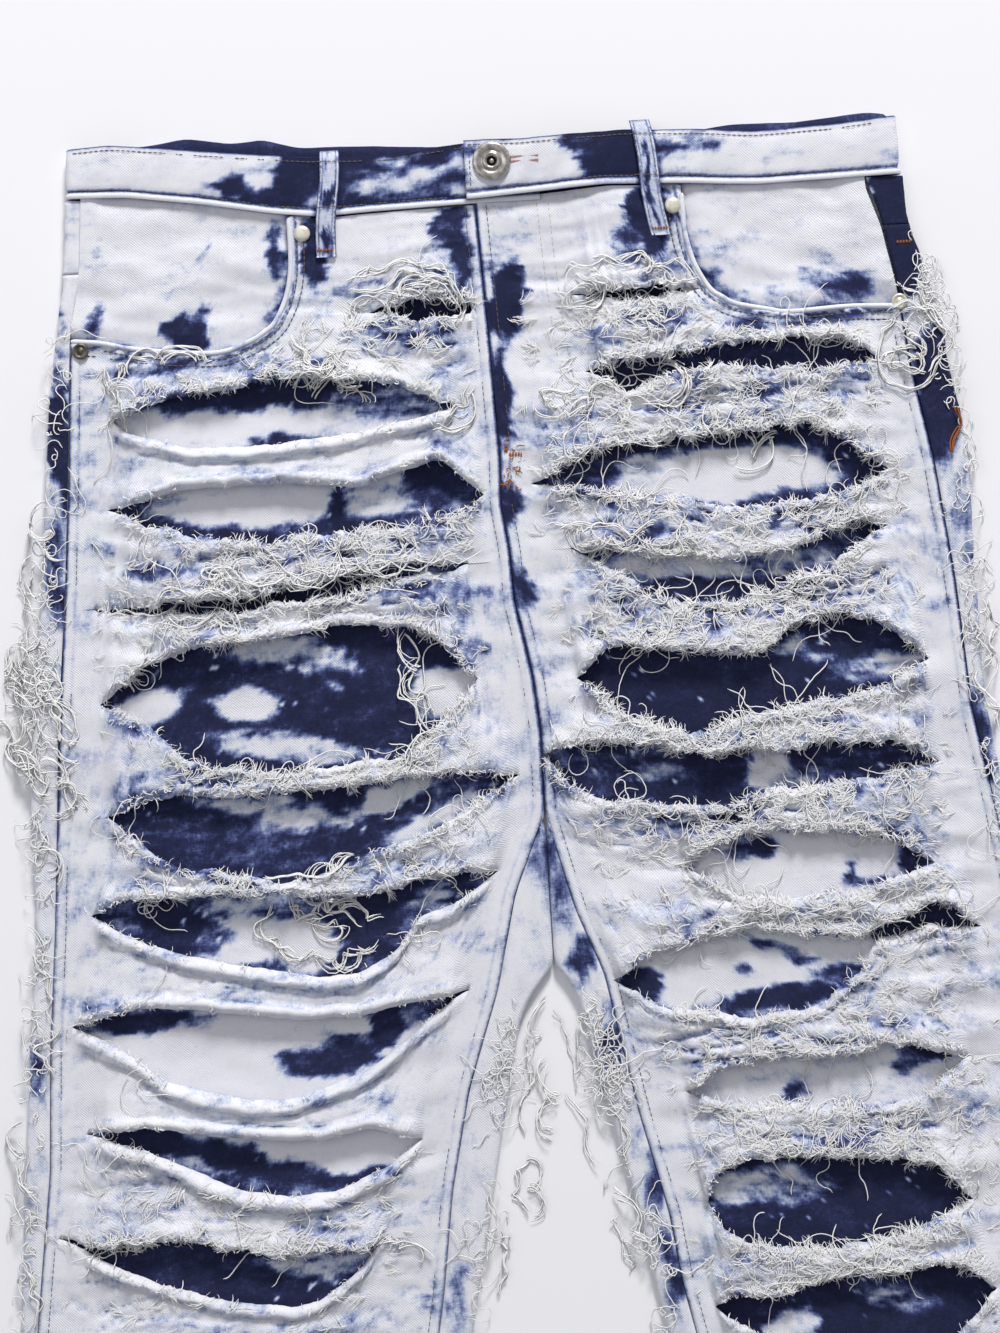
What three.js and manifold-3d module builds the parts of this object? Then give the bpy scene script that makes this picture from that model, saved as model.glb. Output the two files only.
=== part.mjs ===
// Ripped five-pocket jeans laid flat, front side up, with a second layer behind the slashed fronts.
// Millimetres, +Z up. The waist points to +Y and the surface that the jeans lie on is z = 0.
// Places on the cloth are given as (x, drop), where drop is the distance down from the front waist edge.
// Left and right are the viewer's, looking down on the front.
import * as THREE from 'three';
import { mergeVertices } from 'three/addons/utils/BufferGeometryUtils.js';
import Module from 'manifold-3d';

const wasm = await Module();
wasm.setup();

// Driving dimensions
const WAIST_Y = 542.5;          // where drop 0 lies, which centres the jeans on the origin
const SEAM_GAP = 0.4;           // space between two pieces that are sewn together
const WAIST_GAP = 1.6;          // below the waistband, whose edge curves
const DENIM = 1.5;              // one layer of denim
const BACKING = 1.2;            // the softer layer behind the slashes
const BAND = 2.4;               // waistband, folded double
const STRAP = 1.6;              // belt loops and back pockets
const SEAT_LIFT = STRAP + 0.3;  // the seat rests on its pockets and belt loops
const FLAT_HEIGHT = 5.8;        // height of a flattened leg, back panel underneath and front on top
const BACKING_TOP = 4;  
const BACKING_INSET = 4;        // its edges lie inside the seams
const PUFF = 2.4;               // how far the bands between slashes stand up
const BAND_TOP = 8.5;
const BAND_LAP_TOP = 12;        // the buttoned end lies over the other end
const HEM = 1079;               // drop of the hem at the middle of a leg
const HEM_TILT = 34;            // the hem is square to the leg, so its inner corner is lower
const BACKING_END = 800;        // the backing reaches below the lowest slash
const CROTCH = 350;
const BUTTON_RADIUS = 10;
const RIVET_RADIUS = 4.25;
const LOOP_WIDTH = 11;
const MIRROR = { left: -1, right: 1 };

// Seams and outlines, as [drop, x]. Between two points they are straight, so that neighbours meet.
const CENTRE_SEAM = [[30, -17], [165, -12], [235, -9], [285, -2], [325, 0], [CROTCH, 0]];
const INSEAM = {
  left: [...CENTRE_SEAM, [362, -5], [395, -19], [437, -29], [460, -37], [510, -52], [600, -68],
    [800, -109], [HEM, -166]],
  right: [...CENTRE_SEAM, [362, 4.5], [395, 12], [437, 26], [460, 31], [510, 40], [600, 57],
    [800, 101], [HEM, 164]],
};
const OUTSEAM = {
  left: [[19, -221], [57, -224], [100, -231], [165, -237], [235, -243], [285, -248], [325, -252],
    [437, -262], [510, -268], [600, -279], [800, -303], [HEM, -338]],
  right: [[31, 187], [57, 193], [100, 201], [165, 211], [235, 219], [285, 222], [325, 227],
    [437, 246], [510, 257], [600, 272], [800, 299], [HEM, 338]],
};
const OUTER_FOLD = {
  left: [[19, -228], [57, -234], [100, -241], [165, -248], [235, -256], [285, -262], [325, -266],
    [437, -273], [510, -280], [600, -288], [800, -314], [HEM, -352]],
  right: [[31, 204], [57, 208], [100, 219], [165, 231], [235, 231], [285, 232], [325, 236],
    [437, 254], [510, 266], [600, 281], [800, 311], [HEM, 352]],
};
const CENTRE_BACK = SEAM_GAP / 2;
const INNER_FOLD = {
  left: [[30, -CENTRE_BACK], [430, -CENTRE_BACK], [437, -8], [460, -19], [510, -31], [600, -50],
    [800, -92], [HEM, -148]],
  right: [[30, CENTRE_BACK], [430, CENTRE_BACK], [437, 8], [460, 13], [510, 25], [600, 43],
    [800, 87], [HEM, 148]],
};
const LEG_ROWS = [165, 235, 285, 325, CROTCH, 362, 395, 430, 437, 460, 510, 600, 800, HEM];
const SIDE_ROWS = [57, 100, ...LEG_ROWS];

// Waistband edges, as [x, drop], on the front and across the back.
const BAND_FRONT_TOP = {
  left: [[-228, -8], [-205, -9], [-150, -2], [-98, 4], [-60, 5], [-22, 1], [18, 1]],
  right: [[-22, 0], [60, 0], [130, 4], [204, 1]],
};
const BAND_FRONT_SEAM = {
  left: [[-228, 18], [-198, 19], [-158, 25], [-122, 32], [-98, 35], [-72, 34], [-22, 32.5], [18, 27]],
  right: [[-22, 31], [20, 29], [52, 27], [130, 32], [204, 31]],
};
const BAND_BACK_TOP = [[-228, -8], [-165, -11], [-135, -7], [-100, -3], [-20, 1], [150, 4], [204, 1]];
const BAND_BACK_SEAM = [[-228, 18], [-120, 27], [0, 32], [120, 33], [204, 31]];

// Slashes across the fronts: both ends as x, drop, then how far the edges bow up and down between.
const SLASHES = {
  left: [
    [-75, 88, -22, 88, 4, 4],
    [-210, 136, -29, 138, 17, 15],
    [-216, 180, -25, 184, 10, 19],
    [-232, 231, -20, 222, 2, 8],
    [-229, 280, -31, 279, 27, 42],
    [-226, 339, -14, 331, 5, 42],
    [-238, 391, -30, 381, 4, 42],
    [-252, 447, -46, 441, 4, 48],
    [-247, 504, -74, 517, 2, 30],
    [-265, 558, -97, 567, -3, 36],
    [-262, 640, -112, 648, 6, 16],
    [-240, 705, -140, 712, 5, 9],
  ],
  right: [
    [30, 84, 97, 85, 2, 3],
    [36, 124, 188, 127, 13, 6],
    [6, 180, 188, 184, 23, 14],
    [22, 216, 186, 217, -4, 29],
    [22, 283, 203, 283, 16, 26],
    [5, 321, 206, 337, 6, 24],
    [72, 383, 200, 389, 16, 16],
    [34, 440, 168, 440, 20, 22],
    [176, 424, 222, 424, 13, 3],
    [65, 500, 212, 491, 13, 16],
    [72, 557, 209, 564, 22, 24],
    [73, 608, 215, 606, 8, 40],
    [95, 690, 205, 694, 6, 14],
  ],
};
// Front pocket openings, from the waistband round to the side.
const POCKET_EDGE = {
  left: [[-114, 20], [-114, 58], [-124, 88], [-137, 97], [-153, 102], [-201, 97], [-240, 90]],
  right: [[90, 20], [91, 55], [102, 84], [115, 93], [144, 99], [179, 98], [212, 100]],
};
const FACING_UNDERLAP = 14;
const BACK_POCKET = { left: [-126, 78], right: [119, 78], width: 142, straight: 118, depth: 158 };
const YOKE_SIDE = 57;
const YOKE_CENTRE = 95;
const SHANK_HOLE = [-7, 12];
const BUTTONHOLE_END = 15;
const FRONT_LOOPS = { left: [-92, 3, -96, 56], right: [71, -1, 78, 55] };
const BACK_LOOPS = { left: -148, centre: 0, right: 132 };
const RIVETS = {
  pocket_left: [-108, 43], pocket_right: [85.5, 39], side_left: [-226, 97], side_right: [200, 97],
};
// Frayed threads along the side folds and inseams, as [drop, reach] beyond the fold.
const FRAY = {
  outseam: [[165, 3], [235, 10], [285, 13], [325, 9], [437, 7], [510, 8], [600, 8], [800, 2]],
  inseam: [[460, 8], [510, 11], [600, 9], [800, 2]],
};

const between = (a, b, t) => a + (b - a) * t;
const clamp01 = (t) => Math.min(1, Math.max(0, t));

// Value of a line of points at one place; it goes on level past both ends.
function follow(points, place) {
  const sorted = points[0][0] < points.at(-1)[0] ? points : [...points].reverse();
  const last = sorted.findIndex(([p]) => p >= place);
  if (last === 0) return sorted[0][1];
  if (last < 0) return sorted.at(-1)[1];
  const [p0, value0] = sorted[last - 1];
  const [p1, value1] = sorted[last];
  return between(value0, value1, (place - p0) / (p1 - p0));
}

const seatLift = (drop) => SEAT_LIFT * clamp01((CROTCH - drop) / (CROTCH - 285));
const hemTilt = (drop) => clamp01((drop - 600) / (HEM - 600)) * HEM_TILT;

// A sheet of cloth of some thickness. face(i, j) and lining(i, j) give a point on each side of it.
function sheet(rows, columns, face, lining) {
  const positions = [];
  for (const side of [face, lining]) {
    for (let i = 0; i < rows; i += 1) {
      for (let j = 0; j < columns; j += 1) positions.push(...side(i, j));
    }
  }
  const at = (side, i, j) => side * rows * columns + i * columns + j;
  const index = [];
  const quad = (a, b, c, d) => index.push(a, b, c, a, c, d);
  for (let i = 0; i + 1 < rows; i += 1) {
    for (let j = 0; j + 1 < columns; j += 1) {
      quad(at(0, i, j), at(0, i, j + 1), at(0, i + 1, j + 1), at(0, i + 1, j));
      quad(at(1, i, j), at(1, i + 1, j), at(1, i + 1, j + 1), at(1, i, j + 1));
    }
    quad(at(0, i, 0), at(0, i + 1, 0), at(1, i + 1, 0), at(1, i, 0));
    quad(at(0, i + 1, columns - 1), at(0, i, columns - 1), at(1, i, columns - 1), at(1, i + 1, columns - 1));
  }
  for (let j = 0; j + 1 < columns; j += 1) {
    quad(at(0, 0, j + 1), at(0, 0, j), at(1, 0, j), at(1, 0, j + 1));
    quad(at(0, rows - 1, j), at(0, rows - 1, j + 1), at(1, rows - 1, j + 1), at(1, rows - 1, j));
  }
  const geometry = new THREE.BufferGeometry();
  geometry.setAttribute('position', new THREE.Float32BufferAttribute(positions, 3));
  geometry.setIndex(index);
  return facingOut(geometry);
}

// Turns every face over if the solid is inside out.
function facingOut(geometry) {
  const p = geometry.getAttribute('position');
  const index = geometry.getIndex().array;
  const [a, b, c] = [new THREE.Vector3(), new THREE.Vector3(), new THREE.Vector3()];
  let volume = 0;
  for (let k = 0; k < index.length; k += 3) {
    a.fromBufferAttribute(p, index[k]);
    b.fromBufferAttribute(p, index[k + 1]);
    c.fromBufferAttribute(p, index[k + 2]);
    volume += a.dot(b.cross(c));
  }
  if (volume < 0) {
    for (let k = 0; k < index.length; k += 3) {
      [index[k + 1], index[k + 2]] = [index[k + 2], index[k + 1]];
    }
  }
  return geometry;
}

// Cutting and joining
function toSolid(geometry) {
  const bare = new THREE.BufferGeometry();
  bare.setAttribute('position', geometry.getAttribute('position'));
  if (geometry.getIndex()) bare.setIndex(geometry.getIndex());
  const merged = mergeVertices(bare, 1e-4);
  return new wasm.Manifold(new wasm.Mesh({
    numProp: 3,
    vertProperties: Float32Array.from(merged.getAttribute('position').array),
    triVerts: Uint32Array.from(merged.getIndex().array),
  }));
}

function fromSolid(solid) {
  const mesh = solid.getMesh();
  const geometry = new THREE.BufferGeometry();
  geometry.setAttribute('position', new THREE.Float32BufferAttribute(mesh.vertProperties, 3));
  geometry.setIndex(Array.from(mesh.triVerts));
  return geometry;
}

// An upright block on an outline of [x, drop] points.
function block(outline, bottom, top) {
  const shape = new THREE.Shape(outline.map(([x, drop]) => new THREE.Vector2(x, WAIST_Y - drop)));
  const geometry = new THREE.ExtrudeGeometry(shape, { depth: top - bottom, bevelEnabled: false });
  return geometry.translate(0, 0, bottom);
}

const cut = (geometry, blocks) =>
  fromSolid(blocks.reduce((solid, tool) => solid.subtract(toSolid(tool)), toSolid(geometry)));
const keep = (geometry, tool) => fromSolid(toSolid(geometry).intersect(toSolid(tool)));

// The lens shape of a slash.
function slashOutline([x0, drop0, x1, drop1, rise, fall]) {
  const steps = 6;
  const edge = (k, bow) => {
    const t = k / steps;
    return [between(x0, x1, t), between(drop0, drop1, t) + bow * Math.sin(Math.PI * t) ** 0.8];
  };
  const upper = Array.from({ length: steps }, (_, k) => edge(k, -rise));
  const lower = Array.from({ length: steps }, (_, k) => edge(steps - k, fall));
  return [...upper, ...lower];
}

const slashMiddle = ([, drop0, , drop1, rise, fall]) => (drop0 + drop1 + fall - rise) / 2;

// The fronts stand up between two slashes and lie lower at a slash.
function puffProfile(side) {
  const middles = SLASHES[side].map(slashMiddle).sort((a, b) => a - b);
  const profile = [[60, 0], [middles[0], 0.3]];
  for (let k = 1; k < middles.length; k += 1) {
    profile.push([(middles[k - 1] + middles[k]) / 2, 1], [middles[k], 0.45]);
  }
  return [...profile, [800, 0.3], [HEM, 0]];
}

function frontRows(side) {
  const rows = [...SIDE_ROWS];
  for (const [drop] of puffProfile(side)) {
    if (rows.every((row) => Math.abs(row - drop) > 8)) rows.push(drop);
  }
  return rows.sort((a, b) => a - b);
}

// Point on the top of the front at a row and a share of the way from the inseam to the outseam.
function frontPoint(side, row, share, { inset = SEAM_GAP / 2, profile = [] } = {}) {
  const outward = MIRROR[side];
  const top = row === 0;
  const nearWaist = top ? 31 : row;
  const inner = follow(INSEAM[side], nearWaist) + outward * inset;
  const outer = follow(OUTSEAM[side], top ? follow(BAND_FRONT_SEAM[side], outward * 210) : row)
    - outward * inset;
  const x = between(inner, outer, share);
  const drop = top ? follow(BAND_FRONT_SEAM[side], x) + WAIST_GAP : row + hemTilt(row) * (0.5 - share);
  const puff = top || !profile.length ? 0 : follow(profile, row) * PUFF * Math.sin(Math.PI * share);
  return [x, WAIST_Y - drop, seatLift(top ? 31 : row) + FLAT_HEIGHT + puff];
}

function frontPanel(side) {
  const rows = [0, ...frontRows(side)];
  const profile = puffProfile(side);
  const columns = 8;
  const face = (i, j) => frontPoint(side, rows[i], j / (columns - 1), { profile });
  const lining = (i, j) => {
    const [x, y, z] = face(i, j);
    return [x, y, z - DENIM];
  };
  const pocket = [...POCKET_EDGE[side], [MIRROR[side] * 260, 85], [MIRROR[side] * 260, 0],
    [POCKET_EDGE[side][0][0], 0]];
  const tools = [block(pocket, 0, 30), ...SLASHES[side].map((s) => block(slashOutline(s), 0, 30))];
  return cut(sheet(rows.length, columns, face, lining), tools);
}

// The pocket opening made larger all round by the underlap.
function facingOutline(side, extra) {
  const [centreX, centreDrop] = [MIRROR[side] * 260, 0];
  const grown = POCKET_EDGE[side].map(([x, drop]) => {
    const away = new THREE.Vector2(x - centreX, drop - centreDrop).normalize();
    const reach = FACING_UNDERLAP + extra;
    return [x + away.x * reach, drop + away.y * reach];
  });
  return [...grown, [centreX, grown.at(-1)[1]], [centreX, -20], [grown[0][0], -20]];
}

function backing(side) {
  const rows = [0, ...SIDE_ROWS.filter((row) => row <= BACKING_END)];
  const columns = 7;
  const face = (i, j) => {
    const [x, y, z] = frontPoint(side, rows[i], j / (columns - 1), { inset: BACKING_INSET });
    return [x, y, z - FLAT_HEIGHT + BACKING_TOP];
  };
  const lining = (i, j) => {
    const [x, y, z] = face(i, j);
    return [x, y, z - BACKING];
  };
  const hole = block(facingOutline(side, SEAM_GAP), 0, 30);
  return cut(sheet(rows.length, columns, face, lining), [hole]);
}

function pocketFacing(side) {
  const rows = [0, 45, 57, 76, 88, 100, 125];
  const columns = 7;
  const face = (i, j) => {
    const share = between(0.4, 1, j / (columns - 1));
    const [x, y] = frontPoint(side, rows[i], share);
    const sewnOn = clamp01((share - 0.85) / 0.14) * clamp01((88 - rows[i]) / 12);
    return [x, y, SEAT_LIFT + BACKING_TOP + sewnOn * (FLAT_HEIGHT - BACKING_TOP)];
  };
  const lining = (i, j) => {
    const [x, y, z] = face(i, j);
    return [x, y, z - BACKING];
  };
  return keep(sheet(rows.length, columns, face, lining), block(facingOutline(side, 0), 0, 30));
}

// Half a turn of a fold, from the top of the cloth to its underside.
function foldArc(x, outward, radius, middle) {
  return [90, 45, 0, -45, -90].map((degrees) => {
    const angle = THREE.MathUtils.degToRad(degrees);
    return [x - outward * radius * (1 - Math.cos(angle)), middle + radius * Math.sin(angle)];
  });
}

// The line moved sideways by the cloth's thickness.
function offsetLine(line, distance) {
  return line.map(([x, z], k) => {
    const before = line[Math.max(0, k - 1)];
    const after = line[Math.min(line.length - 1, k + 1)];
    const normal = (a, b) => new THREE.Vector2(a[1] - b[1], b[0] - a[0]).normalize();
    const first = k > 0 ? normal(before, [x, z]) : normal([x, z], after);
    const second = k + 1 < line.length ? normal([x, z], after) : first;
    const miter = first.clone().add(second).normalize();
    const length = distance / Math.max(0.5, miter.dot(first));
    return [x + miter.x * length, z + miter.y * length];
  });
}

// Section of a back panel at one drop: over the inseam side, underneath, and up to the outseam.
function backSection(side, drop) {
  const outward = MIRROR[side];
  const radius = FLAT_HEIGHT / 2;
  const inner = follow(INNER_FOLD[side], drop);
  const outer = follow(OUTER_FOLD[side], drop);
  const inseam = follow(INSEAM[side], drop) - outward * SEAM_GAP / 2;
  const outseam = follow(OUTSEAM[side], drop) + outward * SEAM_GAP / 2;
  const folded = drop > CROTCH;
  const startsAt = inner + outward * 2 * radius;
  const innerPart = folded
    ? [[inseam, FLAT_HEIGHT], ...foldArc(inner, -outward, radius, radius)]
    : [0, 1, 2, 3, 4, 5].map((k) => [between(inner, startsAt, k / 5), 0]);
  const firstFlat = innerPart.at(-1)[0];
  const outerPart = [...foldArc(outer, outward, radius, radius).reverse(), [outseam, FLAT_HEIGHT]];
  const lastFlat = outerPart[0][0];
  const flat = [0.25, 0.5, 0.75].map((t) => [between(firstFlat, lastFlat, t), 0]);
  return [...innerPart, ...flat, ...outerPart];
}

// Back cloth between two cross lines. Each row is [drop at the outseam, drop at the centre back].
function backCloth(side, rows) {
  const sections = rows.map(([outerDrop, innerDrop]) => {
    const line = backSection(side, outerDrop);
    const inside = offsetLine(line, MIRROR[side] * DENIM);
    const first = line[0][0];
    const outermost = line.length - 4;
    const last = line[outermost][0];
    const lift = seatLift(outerDrop);
    const place = ([x, z], k) => {
      const share = k > outermost ? 1 : clamp01((line[k][0] - first) / (last - first));
      const drop = between(innerDrop, outerDrop, share) + hemTilt(outerDrop) * (0.5 - share);
      return [x, WAIST_Y - drop, z + lift];
    };
    return [line.map(place), inside.map(place)];
  });
  const columns = sections[0][0].length;
  return sheet(rows.length, columns, (i, j) => sections[i][0][j], (i, j) => sections[i][1][j]);
}

function backYoke(side) {
  const sideTop = follow(BAND_FRONT_SEAM[side], MIRROR[side] * 210) + WAIST_GAP;
  const centreTop = follow(BAND_BACK_SEAM, 0) + WAIST_GAP;
  return backCloth(side, [[sideTop, centreTop], [YOKE_SIDE - SEAM_GAP, YOKE_CENTRE - SEAM_GAP]]);
}

function backPanel(side) {
  return backCloth(side, [[YOKE_SIDE, YOKE_CENTRE], [100, 125], ...LEG_ROWS.map((row) => [row, row])]);
}

function backPocket(side) {
  const [x, drop] = BACK_POCKET[side];
  const half = BACK_POCKET.width / 2;
  const lean = MIRROR[side] * 5;
  const outline = [
    [x - half, drop - lean], [x + half, drop + lean * 0.2], [x + half - 6, drop + BACK_POCKET.straight],
    [x, drop + BACK_POCKET.depth], [x - half + 6, drop + BACK_POCKET.straight],
  ];
  return block(outline, 0, STRAP);
}

// The waistband is one strip: from its under end round the back to the buttoned end on top.
function waistband() {
  const bottom = SEAT_LIFT;
  const radius = (BAND_TOP - bottom) / 2;
  const middle = bottom + radius;
  const lapAt = (x) => between(BAND_TOP, BAND_LAP_TOP, clamp01((62 - x) / 30));
  const front = (side, x, z) => ({
    x, z, top: follow(BAND_FRONT_TOP[side], x), seam: follow(BAND_FRONT_SEAM[side], x),
  });
  const back = (x, z) => ({ x, z, top: follow(BAND_BACK_TOP, x), seam: follow(BAND_BACK_SEAM, x) });
  const stations = [
    ...[17, -20, -60, -98, -122, -150, -180, -205].map((x) => front('left', x, BAND_TOP)),
    ...foldArc(-228, -1, radius, middle).map(([x, z]) => front('left', -228, z, x)),
    ...[-198, -165, -135, -100, -50, 0, 75, 150].map((x) => back(x, bottom)),
    ...foldArc(204, 1, radius, middle).reverse().map(([x, z]) => front('right', 204, z, x)),
    ...[170, 130, 98, 72, 62, 47, 32, 5, -20].map((x) => front('right', x, lapAt(x))),
  ];
  const leftFold = foldArc(-228, -1, radius, middle);
  const rightFold = foldArc(204, 1, radius, middle).reverse();
  leftFold.forEach(([x], k) => { stations[8 + k].x = x; });
  rightFold.forEach(([x], k) => { stations[21 + k].x = x; });
  const outside = stations.map(({ x, z }) => [x, z]);
  const inside = offsetLine(outside, BAND);
  const point = (line) => (i, j) => {
    const { top, seam } = stations[j];
    return [line[j][0], WAIST_Y - (i === 0 ? top : seam - SEAM_GAP / 2), line[j][1]];
  };
  const strip = sheet(2, stations.length, point(outside), point(inside));
  const lapBottom = BAND_LAP_TOP - BAND - 0.2;
  const [holeX, holeDrop] = SHANK_HOLE;
  const slit = block([[holeX, holeDrop - 1.3], [BUTTONHOLE_END, holeDrop - 1.3],
    [BUTTONHOLE_END, holeDrop + 1.3], [holeX, holeDrop + 1.3]], lapBottom, BAND_LAP_TOP + 1);
  const eye = new THREE.CylinderGeometry(3.6, 3.6, 4, 16).rotateX(Math.PI / 2)
    .translate(holeX, WAIST_Y - holeDrop, lapBottom + 2);
  return cut(strip, [slit, eye]);
}

// A belt loop over the waistband, sewn down below it.
function frontLoop([x0, drop0, x1, drop1]) {
  const panelTop = SEAT_LIFT + FLAT_HEIGHT;
  const route = [
    [-0.04, BAND_TOP + 0.4], [0.12, BAND_TOP + 1.5], [0.45, BAND_TOP + 1.9], [0.7, BAND_TOP + 0.9],
    [0.88, panelTop + 0.6], [1, panelTop + 0.5],
  ];
  const face = (thickness) => (i, j) => {
    const [share, z] = route[i];
    const x = between(x0, x1, share) + (j - 0.5) * LOOP_WIDTH;
    return [x, WAIST_Y - between(drop0, drop1, share), z + thickness];
  };
  return sheet(route.length, 2, face(STRAP), face(0));
}

function backLoop(x) {
  const half = LOOP_WIDTH / 2;
  return block([[x - half, 0], [x + half, 0], [x + half, 52], [x - half, 52]], 0, STRAP);
}

const lathe = (profile, [x, drop], z, turns) =>
  new THREE.LatheGeometry(profile.map(([r, h]) => new THREE.Vector2(r, h)), turns)
    .rotateX(Math.PI / 2).translate(x, WAIST_Y - drop, z);

function waistButton() {
  const underside = BAND_LAP_TOP - BAND_TOP + 0.2;
  const rim = BUTTON_RADIUS;
  const profile = [
    [0, 0.4], [3, 0.4], [3, underside], [rim - 1, underside], [rim, underside + 1],
    [rim, underside + 2], [rim - 1, underside + 3], [rim - 3, underside + 3.1], [0, underside + 2.6],
  ];
  return lathe(profile, SHANK_HOLE, BAND_TOP, 24);
}

const rivet = (place, z) => lathe([
  [0, 0.3], [RIVET_RADIUS, 0.3], [RIVET_RADIUS, 1], [RIVET_RADIUS * 0.7, 1.9], [0, 2.2],
], place, z, 12);

// Plain strips that stand for the loose threads along an edge.
function fray(side, edge, direction, reach) {
  const outward = MIRROR[side] * direction;
  const face = (z) => (i, j) => {
    const [drop, length] = reach[i];
    const fold = follow(edge[side], drop);
    const share = direction > 0 ? 1 : 0;
    const x = fold + outward * (j === 0 ? SEAM_GAP : length);
    return [x, WAIST_Y - drop - hemTilt(drop) * (0.5 - share), seatLift(drop) + z];
  };
  return sheet(reach.length, 2, face(3.8), face(1.6));
}

// Colours, roughness and metalness
const cloth = (color, roughness = 0.9) => ({ color, roughness, metalness: 0 });
const BLEACHED = cloth('#c9d0e4');
const FADED = cloth('#7f8fc0');
const BLUE = cloth('#4a5c9a');
const THREADS = cloth('#dcd9cf', 0.95);
const NICKEL = { color: '#cfc9c5', roughness: 0.32, metalness: 0.9 };
const PALE_METAL = { color: '#e8e4da', roughness: 0.35, metalness: 0.6 };

const jeans = new THREE.Group();
function add(name, geometry, look) {
  const mesh = new THREE.Mesh(geometry, new THREE.MeshStandardMaterial(look));
  mesh.name = name;
  jeans.add(mesh);
}

for (const side of ['left', 'right']) {
  add(`front_panel_${side}`, frontPanel(side), BLEACHED);
  add(`front_backing_${side}`, backing(side), BLUE);
  add(`pocket_facing_${side}`, pocketFacing(side), FADED);
  add(`back_yoke_${side}`, backYoke(side), FADED);
  add(`back_panel_${side}`, backPanel(side), BLEACHED);
  add(`back_pocket_${side}`, backPocket(side), FADED);
  add(`front_belt_loop_${side}`, frontLoop(FRONT_LOOPS[side]), FADED);
  add(`fray_outseam_${side}`, fray(side, OUTER_FOLD, 1, FRAY.outseam), THREADS);
  add(`fray_inseam_${side}`, fray(side, INNER_FOLD, -1, FRAY.inseam), THREADS);
}
for (const [place, x] of Object.entries(BACK_LOOPS)) add(`back_belt_loop_${place}`, backLoop(x), FADED);
add('waistband', waistband(), BLEACHED);
add('waist_button', waistButton(), NICKEL);
for (const [place, point] of Object.entries(RIVETS)) {
  add(`rivet_${place}`, rivet(point, SEAT_LIFT + FLAT_HEIGHT), PALE_METAL);
}

export default jeans;
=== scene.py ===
"""Ripped jeans laid flat: bleached outer fronts, slashed and frayed over a whole navy layer.

Lengths are millimetres until a mesh is made, but for the lights and the floor's size. A place on
the cloth is (x, drop): x to the viewer's right and drop down from the front waist edge. Left and
right are the viewer's.
"""
import math

import bmesh
import bpy
import numpy as np
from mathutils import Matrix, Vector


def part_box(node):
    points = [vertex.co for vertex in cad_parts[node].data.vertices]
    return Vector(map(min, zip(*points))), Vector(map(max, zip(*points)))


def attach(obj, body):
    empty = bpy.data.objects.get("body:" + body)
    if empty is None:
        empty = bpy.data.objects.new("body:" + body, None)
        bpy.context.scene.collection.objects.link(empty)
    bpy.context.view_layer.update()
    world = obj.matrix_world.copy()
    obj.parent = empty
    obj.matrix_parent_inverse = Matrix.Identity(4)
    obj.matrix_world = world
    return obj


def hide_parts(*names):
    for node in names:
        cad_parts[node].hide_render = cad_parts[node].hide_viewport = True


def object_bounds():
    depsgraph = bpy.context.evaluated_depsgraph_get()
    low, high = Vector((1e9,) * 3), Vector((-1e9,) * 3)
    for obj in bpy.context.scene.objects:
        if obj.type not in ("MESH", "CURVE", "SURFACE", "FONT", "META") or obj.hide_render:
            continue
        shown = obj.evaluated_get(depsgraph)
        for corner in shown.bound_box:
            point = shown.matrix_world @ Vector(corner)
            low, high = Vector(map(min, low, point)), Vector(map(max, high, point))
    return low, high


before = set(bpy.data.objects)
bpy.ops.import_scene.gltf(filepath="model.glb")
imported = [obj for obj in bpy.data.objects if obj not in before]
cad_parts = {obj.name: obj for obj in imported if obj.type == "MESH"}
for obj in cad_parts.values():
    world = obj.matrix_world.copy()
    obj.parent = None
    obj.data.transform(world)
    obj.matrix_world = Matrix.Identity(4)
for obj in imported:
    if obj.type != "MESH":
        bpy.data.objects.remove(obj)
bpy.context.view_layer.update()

MM = 0.001
BACK_RISE = 11                                   # the back waist edge stands above drop 0
WAIST_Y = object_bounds()[1].y / MM - BACK_RISE
SEAT_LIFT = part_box("back_yoke_left")[0].z / MM   # the seat lies on its pockets and belt loops
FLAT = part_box("back_yoke_left")[1].z / MM - SEAT_LIFT
BACKING_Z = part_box("front_backing_left")[1].z / MM - SEAT_LIFT
HEM = 1079
HEM_TILT = 34                                    # the outseam's end hangs this much lower
CROTCH = 350
MIRROR = {"left": -1, "right": 1}

# ---------------------------------------------------------------- camera, floor and light
PHOTO_HEIGHT = 693            # what the view takes in, top to bottom
VIEW_CENTRE = (-18.6, 273.5)  # the x and drop that the view is centred on
CLOTH_TOP = 6                 # the height of the cloth that the view is framed on
LENS = 85
SENSOR = 36
TURN = -3.5                   # degrees
FLOOR_COLOUR = (0.93, 0.93, 0.96, 1)
FLOOR_SIZE = 8                # metres
FLOOR_GAP = 0.6               # how far the floor lies under the cloth
# Lights: place and aim in metres, size, watts and colour. The key comes from far above the waist.
LIGHTS = {"key": ((0.8, 4.5, 2.6), (0, 0.1, 0), 1.0, 250, (1, 0.985, 0.965)),
          "fill": ((-1.2, 0.9, 2.2), (0, 0.25, 0), 1.5, 8.5, (0.95, 0.97, 1))}
SKY_COLOUR = (0.95, 0.965, 1, 1)
SKY_STRENGTH = 0.33


def area_light(name, place, aim, size, power, colour):
    """A square light that faces its aim."""
    data = bpy.data.lights.new(name, "AREA")
    data.size = size
    data.energy = power
    data.color = colour
    light = bpy.data.objects.new(name, data)
    light.location = place
    way = np.array(aim, float) - np.array(place, float)
    yaw = math.atan2(way[1], way[0])
    pitch = math.acos(-way[2] / np.linalg.norm(way))
    light.rotation_euler = (pitch, 0, yaw - math.pi / 2)
    bpy.context.scene.collection.objects.link(light)


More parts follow.
